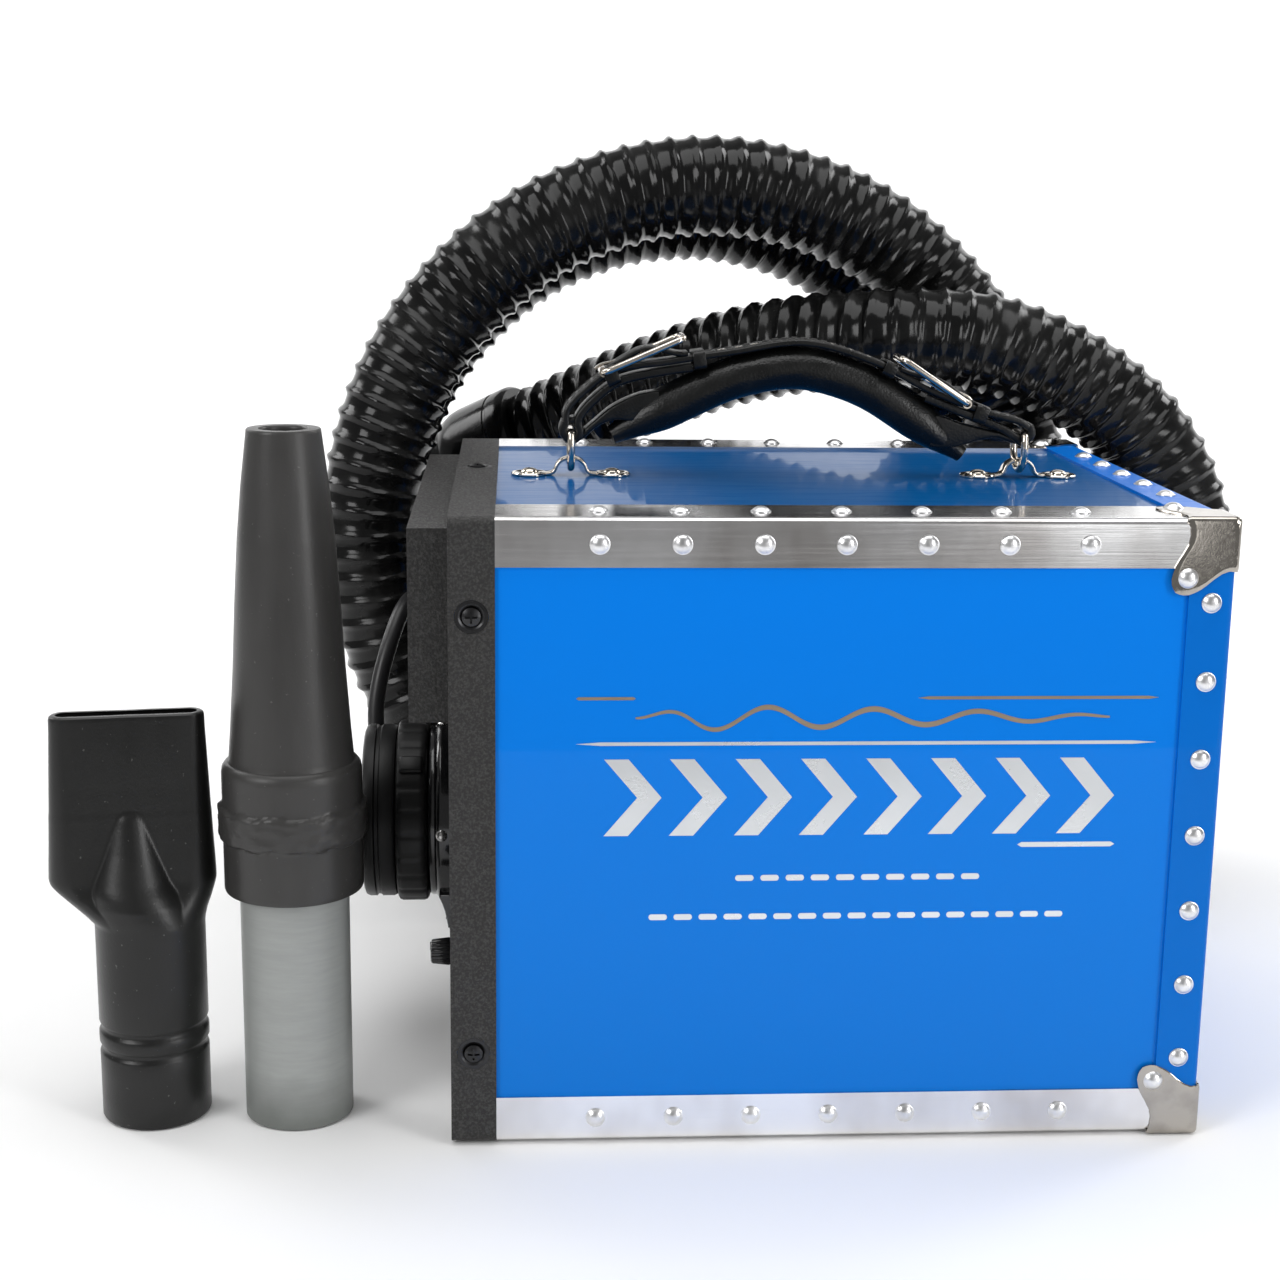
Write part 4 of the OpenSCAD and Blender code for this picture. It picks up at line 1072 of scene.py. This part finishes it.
# ---- domed rivets in rows --------------------------------------------------------------------

RIVET_PITCH = 31.4
CASE_TOP, CASE_MIDDLE = z_high, (z_low + z_high) / 2


def rivet_head(bm):
    """A domed head with a thin rim."""
    add_lathe(bm, [(0.02, 2.2), (0.8, 2.14), (1.6, 1.94), (2.4, 1.56), (3.0, 1.12), (3.45, 0.66),
                   (3.7, 0.42), (3.95, 0.36), (4.0, 0.2), (4.0, 0.0)], 32, cap=True)


def row_of(start, step, half, way):
    along = Vector(step).normalized()
    return [(Vector(start) + Vector(step) * k, along, Vector(way)) for k in range(-half, half + 1)]


rows = []
for y_side in (-1, 1):
    y = y_side * y_edge
    for z in (z_low + 10.2, z_high - 10.2):
        rows += row_of((-0.1, y, z), (RIVET_PITCH, 0, 0), 3, (0, y_side, 0))
    rows += row_of((-0.1, y_side * (y_edge - 16.5), CASE_TOP), (RIVET_PITCH, 0, 0), 3, (0, 0, 1))
bm = bmesh.new()
rivet_head(bm)
repeated("strip_rivets", bm, rows, RIVET_METAL, "case",
         ("trim_rivets",))
rows = []
for y_side in (-1, 1):
    rows += row_of((142.9, y_side * y_edge, CASE_MIDDLE), (0, 0, RIVET_PITCH), 3, (0, y_side, 0))
    rows += row_of((152, y_side * (y_edge - 9.1), CASE_MIDDLE), (0, 0, RIVET_PITCH), 3, (1, 0, 0))
    rows += row_of((152, 0, CASE_MIDDLE + y_side * (y_edge - 9.1)), (0, RIVET_PITCH, 0), 2,
                   (1, 0, 0))
rows += row_of((142.9, 0, CASE_TOP), (0, RIVET_PITCH, 0), 2, (0, 0, 1))
bm = bmesh.new()
rivet_head(bm)
repeated("end_rivets", bm, rows, RIVET_METAL, "case",
         ("end_trim_rivets",))

# ---- long nozzle and flat nozzle -------------------------------------------------------------

LONG_AT = Matrix.Translation((-216, -90, 0))
FLAT_AT = Matrix.Translation((-275, -88, 0)) @ Matrix.Rotation(math.radians(8), 4, "Z")


def dense(profile, step=2.0):
    """Adds points on the straight runs of a profile."""
    out = [profile[0]]
    for a, b in zip(profile, profile[1:]):
        n = max(1, round(math.dist(a, b) / step))
        out += [(a[0] + (b[0] - a[0]) * k / n, a[1] + (b[1] - a[1]) * k / n)
                for k in range(1, n + 1)]
    return out


def band_wobble(r, h, a):
    """The rough raised band: a lumpy ring with torn edges."""
    if r < 27 or not 118 < h < 136:
        return r
    p = Vector((math.cos(a) * 2.4, math.sin(a) * 2.4, h * 0.12))
    edge = 1.6 * noise.noise(Vector((math.cos(a) * 3, math.sin(a) * 3, 4.0)))
    inside = ease((h - 119.5 - edge) / 1.6) * ease((134.2 + edge - h) / 1.6)
    return 28.0 + inside * (1.75 + 0.5 * noise.noise(p * 2.2) + 0.25 * noise.noise(p * 6))


cone_profile = dense([
    (21.8, 97.5), (27.0, 97.5), (27.7, 97.9), (28.0, 98.8), (28.0, 118), (28.0, 136),
    (28.0, 147.2), (27.6, 149.2), (26.6, 150.6), (25.9, 151.1), (25.3, 151.2), (24.9, 152.6),
    (24.0, 163), (22.2, 189), (20.8, 215), (19.1, 241), (17.1, 262), (14.6, 282.6),
    (14.5, 283.5), (14.1, 284.0), (12.4, 284.0), (9.9, 284.0), (9.4, 283.6), (9.2, 282.8),
    (9.2, 276), (12.0, 270), (20.0, 121.5), (20.0, 115.5), (21.8, 115.5)], 1.0)
bm = bmesh.new()
add_lathe(bm, cone_profile, 120, LONG_AT, loop=True, wobble=band_wobble)
finish_piece("long_nozzle_cone", bm, FINISH["nozzle_plastic"], "long_nozzle_body",
             ("nozzle_cone",))

bm = bmesh.new()
add_lathe(bm, dense([(20.3, 0.1), (21.4, 0.0), (21.9, 0.4), (22.0, 1.2), (22.0, 97.0),
                     (21.7, 97.2), (21.7, 114), (20.0, 114), (20.0, 0.6)], 3.0), 96, LONG_AT,
          loop=True)
finish_piece("long_nozzle_tube", bm, FINISH["grey_tube"], "long_nozzle_body",
             ("nozzle_tube",))

MOUTH_Z = 170.0
# Blade stations: height, half width, half thickness, shift, radius of the cone in the middle.
BLADE = [(82, 22, 22, 0, 22), (84, 22.2, 21.6, 0, 22), (88, 24.6, 18.4, -1.4, 22),
         (93, 28.2, 14.2, -3.2, 21.6), (97.5, 31.3, 11.4, -4.9, 20.1),
         (100.2, 32.8, 10.6, -5.7, 18.9), (102.4, 33.1, 10.3, -6, 17.9),
         (108, 32.9, 9.7, -6, 15.8), (114, 32.6, 9.1, -6, 13.6), (120, 32.3, 8.6, -6, 11.7),
         (125, 32.1, 8.2, -6, 10.2), (128, 32.0, 8.0, -6, 9.4), (129.4, 31.9, 7.9, -6, 8.7),
         (130.2, 31.8, 7.8, -6, 7.0), (140, 31.4, 7.2, -6, 0), (152, 30.9, 6.7, -6, 0),
         (163, 30.4, 6.3, -6, 0), (168.2, 30.3, 6.1, -6, 0), (169.4, 30.0, 5.9, -6, 0),
         (MOUTH_Z, 29.2, 5.2, -6, 0)]


def blade_ring(z, half_w, half_t, shift, cone, inset=0.0, columns=110):
    """One station of the flat nozzle as a closed ring of points."""
    w, t, c = half_w - inset, half_t - inset, cone - inset
    ring = []
    for k in range(2 * columns):
        share = k if k <= columns else 2 * columns - k
        x = w * math.cos(math.pi * share / columns)
        edge = abs(x) - (w - t)
        slab = t if edge <= 0 else math.sqrt(max(0.0, t * t - edge * edge))
        ridge = math.sqrt(max(0.0, c * c - x * x)) if c > 0 else 0.0
        y = max(slab, ridge)
        pinch = 0.35 * math.exp(-(x / 5.0) ** 2) * ease((z - 150) / 20)
        ring.append(FLAT_AT @ Vector((shift + x, math.copysign(y - pinch, columns - k) if
                                      0 < share < columns else 0.0, z)))
    return ring


def blade_at(z, inset):
    for a, b in zip(BLADE, BLADE[1:]):
        if z <= b[0]:
            s = clamp01((z - a[0]) / (b[0] - a[0]))
            return blade_ring(z, *(p + (q - p) * s for p, q in zip(a[1:], b[1:])), inset)
    return blade_ring(z, *BLADE[-1][1:], inset)


flat_rings = []
FOOT = [(0.0, 20.9), (0.3, 21.6), (1.2, 22.0), (10, 22.0), (20, 22.0), (28.0, 22.0), (28.8, 21.7),
        (29.6, 21.1), (30.5, 20.9), (31.4, 21.1), (32.2, 21.7), (33.0, 22.1), (35.0, 22.15),
        (37.0, 22.1), (37.8, 21.7), (38.6, 21.1), (39.5, 20.9), (40.4, 21.1), (41.2, 21.7),
        (42.0, 22.0), (60, 22.0), (78, 22.0)]
for z, r in FOOT:
    flat_rings.append(blade_ring(z, r, r, 0, r))
z = 82.0
while z < MOUTH_Z - 1.9:
    flat_rings.append(blade_at(z, 0.0))
    z += 1.1
for z in (168.2, 169.4, MOUTH_Z):
    flat_rings.append(blade_at(z, 0.0))
for z in (MOUTH_Z, 169.2, 166, 155, 145, 135, 125, 115, 108, 102, 97, 92, 88, 84, 82):
    flat_rings.append(blade_at(z, 1.7))
for z in (60, 30, 1.0, 0.2):
    flat_rings.append(blade_ring(z, 19.8, 19.8, 0, 19.8))
bm = bmesh.new()
add_rings(bm, flat_rings, loop=True)
finish_piece("flat_blade_nozzle", bm, FLAT_BLACK, "flat_nozzle_body",
             ("flat_nozzle",))

# ---- outlet: socket, locking ring and flange --------------------------------------------------

OUTLET = Matrix.Translation((0, 0, 102)) @ AXIS_X


def ring_grooves(r, x, a):
    """Finger grooves round the locking ring's rim."""
    if r < 38:
        return r
    near = abs(((a / TURN * 24 + 0.5) % 1) - 0.5) / 24 * TURN * r
    return r - 0.55 * math.exp(-(near / 1.3) ** 2)


for name, profile, body, slot_name, node, wobble in (
    ("outlet_socket", [
        (27.2, -192.6), (27.8, -193.1), (36.2, -193.1), (37.8, -192.4), (38.5, -190.9),
        (38.5, -188), (37.7, -187.4), (37.7, -186), (38.5, -185.4), (38.5, -180.4),
        (37.8, -179.0), (36.6, -178.6), (30, -178.6), (30, -141.8), (33, -141.7), (33, -139.7),
        (30, -139.7), (27.2, -139.7)], "swivel", "ring_plastic", "hose_socket", None),
    ("outlet_locking_ring", dense([
        (30.08, -178.3), (38.9, -178.3), (40.1, -177.6), (40.6, -176.3), (40.6, -166.8),
        (40.1, -165.5), (38.9, -164.8), (30.08, -164.8)], 1.5), "lock_ring", "ring_plastic",
     "locking_ring", ring_grooves),
    ("outlet_flange_turned", [
        (30.08, -164.5), (36.4, -164.5), (37.6, -164.1), (38.2, -163.0), (38.2, -161.4),
        (39.2, -160.6), (39.9, -159.6), (40.0, -158.5), (40.0, -153.2), (40.8, -152.4),
        (40.8, -152.0), (33.8, -152.0), (33.8, -142.0), (30.08, -142.0)], "case",
     "black_plastic", "outlet_flange", None)):
    bm = bmesh.new()
    add_lathe(bm, profile, 240 if wobble else 96, OUTLET, loop=True, wobble=wobble)
    if name == "outlet_locking_ring":
        for a in (45, 225):
            turn = Matrix.Translation((0, 0, 102)) @ Matrix.Rotation(math.radians(a), 4, "X")
            add_block(bm, (-176.8, -4, 37), (-166.3, 4, 42.4), 1.2, turn, 3)
    finish_piece(name, bm, FINISH[slot_name], body, (node,))

# ---- small parts on the control cap -----------------------------------------------------------

bm = bmesh.new()
relief = [(4.1, -173.9), (4.6, -174.0), (5.0, -173.6)]
for k in range(7):
    x = -172.6 + 2.1 * k
    r = 5.2 + 0.24 * k
    relief += [(r, x), (r + 0.25, x + 0.5), (r, x + 1.0), (r - 0.8, x + 1.3), (r - 0.8, x + 1.8)]
relief += [(7.0, -157.4), (7.2, -156.2), (8.4, -156.0), (9.3, -155.6), (9.5, -155.0),
           (9.5, -152.0), (7.8, -151.9), (7.8, -139.5), (4.1, -139.5)]
add_lathe(bm, relief, 40, Matrix.Translation((0, 62, 102)) @ AXIS_X, loop=True)
finish_piece("ribbed_strain_relief", bm, FINISH["cord_rubber"], "case",
             ("strain_relief",))

bm = bmesh.new()
add_lathe(bm, [(0.02, -162.4), (4.2, -162.4), (4.9, -162.0), (5.2, -161.3), (5.9, -154.6),
               (5.6, -154.1), (4.9, -154.0), (2.5, -153.8), (2.5, -145.6), (0.02, -145.5)], 96,
          Matrix.Translation((0, -60, 57)) @ AXIS_X, cap=True,
          wobble=lambda r, x, a: r - (0.35 if r > 5 and math.cos(24 * a) > 0 else 0.0))
add_block(bm, (-162.75, -60.45, 57.6), (-162.2, -59.55, 61.2), 0.2)
finish_piece("speed_knob_ribbed", bm, FINISH["black_plastic"], "knob",
             ("speed_knob",))

bm = bmesh.new()
rocker_outline = [(3, -7.5), (-1.2, -7.5), (-1.8, -7.1), (-2.4, -3.6), (-3.1, 0), (-4.3, 3.6),
                  (-5.6, 6.5), (-5.5, 7.1), (-5.0, 7.4), (3, 7.5)]
rings = []
for y, inset in ((-5.2, 0.5), (-4.8, 0.1), (-4.4, 0.0), (4.4, 0.0), (4.8, 0.1), (5.2, 0.5)):
    rings.append([Vector((-153 + x + (inset if x < 0 else 0.0), -60 + y,
                          76.5 + z * (1 - inset / 14))) for x, z in rocker_outline])
add_rings(bm, rings)
for z in (-4.0, 4.4):
    place = Matrix.Translation((-153 - (2.6 if z < 0 else 4.7), -60, 76.5 + z))
    if z < 0:
        add_block(bm, (-0.25, -2.0, -0.35), (0.3, 2.0, 0.35), 0.12, place)
add_lathe(bm, [(0.02, -7), (0.7, -7), (0.7, 7), (0.02, 7)], 12,
          Matrix.Translation((-153, -60, 76.5)) @ Matrix.Rotation(math.radians(90), 4, "X"),
          cap=True)
finish_piece("power_rocker", bm, FINISH["black_plastic"], "rocker",
             ("switch_rocker",))

# ---- generic air-stream lines on the front ------------------------------------------------------

front_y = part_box("front_panel")[0].y / MM


def add_foil(bm, top, foot):
    """A strip between an upper and a lower row of (x, z) points, as thin foil."""
    lower = [Vector((x, front_y, z)) for x, z in foot]
    upper = [Vector((x, front_y, z)) for x, z in top]
    lift = Vector((0, -0.18, 0))
    rings = [[a, b, b + lift, a + lift] for a, b in zip(upper, lower)]
    add_rings(bm, rings)


def foil_bar(bm, x0, x1, z, height):
    count = 24
    xs = [x0 + (x1 - x0) * k / count for k in range(count + 1)]
    ends = [max(0.02, min(1.0, math.sqrt(max(0.0, 1 - (1 - min(x - x0, x1 - x) / (height / 2)) ** 2))
                          if min(x - x0, x1 - x) < height / 2 else 1.0)) for x in xs]
    add_foil(bm, [(x, z + e * height / 2) for x, e in zip(xs, ends)],
             [(x, z - e * height / 2) for x, e in zip(xs, ends)])


def foil_chevron(bm, x, z, width, height, arm):
    """One arrow head that points along the air stream."""
    top, foot = [], []
    for k in range(9):
        s = k / 8
        tip = width * (1 - abs(2 * s - 1))
        top.append((x + tip + arm, z + height * (s - 0.5)))
        foot.append((x + tip, z + height * (s - 0.5)))
    add_foil(bm, top, foot)


bm = bmesh.new()
foil_bar(bm, -103, -80, 184.4, 1.2)
foil_bar(bm, 30, 125, 184.4, 1.2)
top, foot = [], []
for k in range(161):
    share = k / 160
    x = -80 + 186 * share
    middle = 176.6 + 5.2 * math.sin(TURN * 4.5 * share) * (1 - share) ** 0.6 * min(1, 8 * share)
    half = 0.35 + 0.75 * math.sin(math.pi * share) ** 0.5
    top.append((x, middle + half))
    foot.append((x, middle - half))
add_foil(bm, top, foot)
finish_piece("bronze_lines", bm, BRONZE_LINE, "case", smooth=False)
bm = bmesh.new()
foil_bar(bm, -103, 125, 166.3, 1.4)
for k in range(8):
    foil_chevron(bm, -92 + k * 25.6, 144.6, 13, 31, 9.5)
foil_bar(bm, 72, 111, 124.5, 2.0)
for x0, z, count, pitch in ((-40, 111.5, 10, 10.0), (-74, 95.5, 17, 9.9)):
    for k in range(count):
        foil_bar(bm, x0 + k * pitch, x0 + k * pitch + 7.4, z, 2.4)
finish_piece("silver_lines", bm, SILVER_LINE, "case", smooth=False)

# ---- floor, light and finish --------------------------------------------------------------------

bm = bmesh.new()
sweep_line = [(-0.72, 0), (0.0, 0), (0.7, 0), (1.1, 0), (1.3, 0.03), (1.45, 0.1), (1.54, 0.22),
              (1.58, 0.4), (1.6, 0.8), (1.6, 1.3)]
add_rings(bm, [[Vector((x, y, z - 0.0004)) for x in (-2.2, 2.2)] for y, z in sweep_line],
          closed_round=False, cap=False)
floor_mesh = bpy.data.meshes.new("paper_sweep")
bm.to_mesh(floor_mesh)
bm.free()
floor_mesh.materials.append(plain_finish("white_paper", (0.95, 0.95, 0.95), 0.8, mottle=0.005,
                                         specular=0.0))
floor_mesh.shade_smooth()
floor = bpy.data.objects.new("paper_sweep", floor_mesh)
bpy.context.scene.collection.objects.link(floor)

softbox("overhead", (0.0, -0.1, 1.7), (0, 0.05, 0.1), 1.6, 1.1, 15)
softbox("front_left", (-1.6, -1.3, 1.25), (0, 0, 0.15), 0.8, 1.1, 17)
softbox("front_right", (1.5, -1.35, 0.7), (0, 0, 0.15), 0.5, 1.4, 15)
softbox("right_card", (0.5, -1.5, 0.44), (0.1, -0.1, 0.24), 0.22, 0.9, 0.62)
softbox("paper_left", (-1.5, 0.9, 1.3), (0.3, 1.6, 0.4), 0.9, 0.9, 14)
softbox("paper_right", (1.5, 0.9, 1.3), (-0.3, 1.6, 0.4), 0.9, 0.9, 14)
world = bpy.data.worlds.new("studio")
bpy.context.scene.world = world
world.use_nodes = True
background = world.node_tree.nodes["Background"]
background.inputs["Color"].default_value = (1.0, 1.0, 1.0, 1)
background.inputs["Strength"].default_value = 0.26
bpy.context.scene.view_settings.view_transform = "Standard"
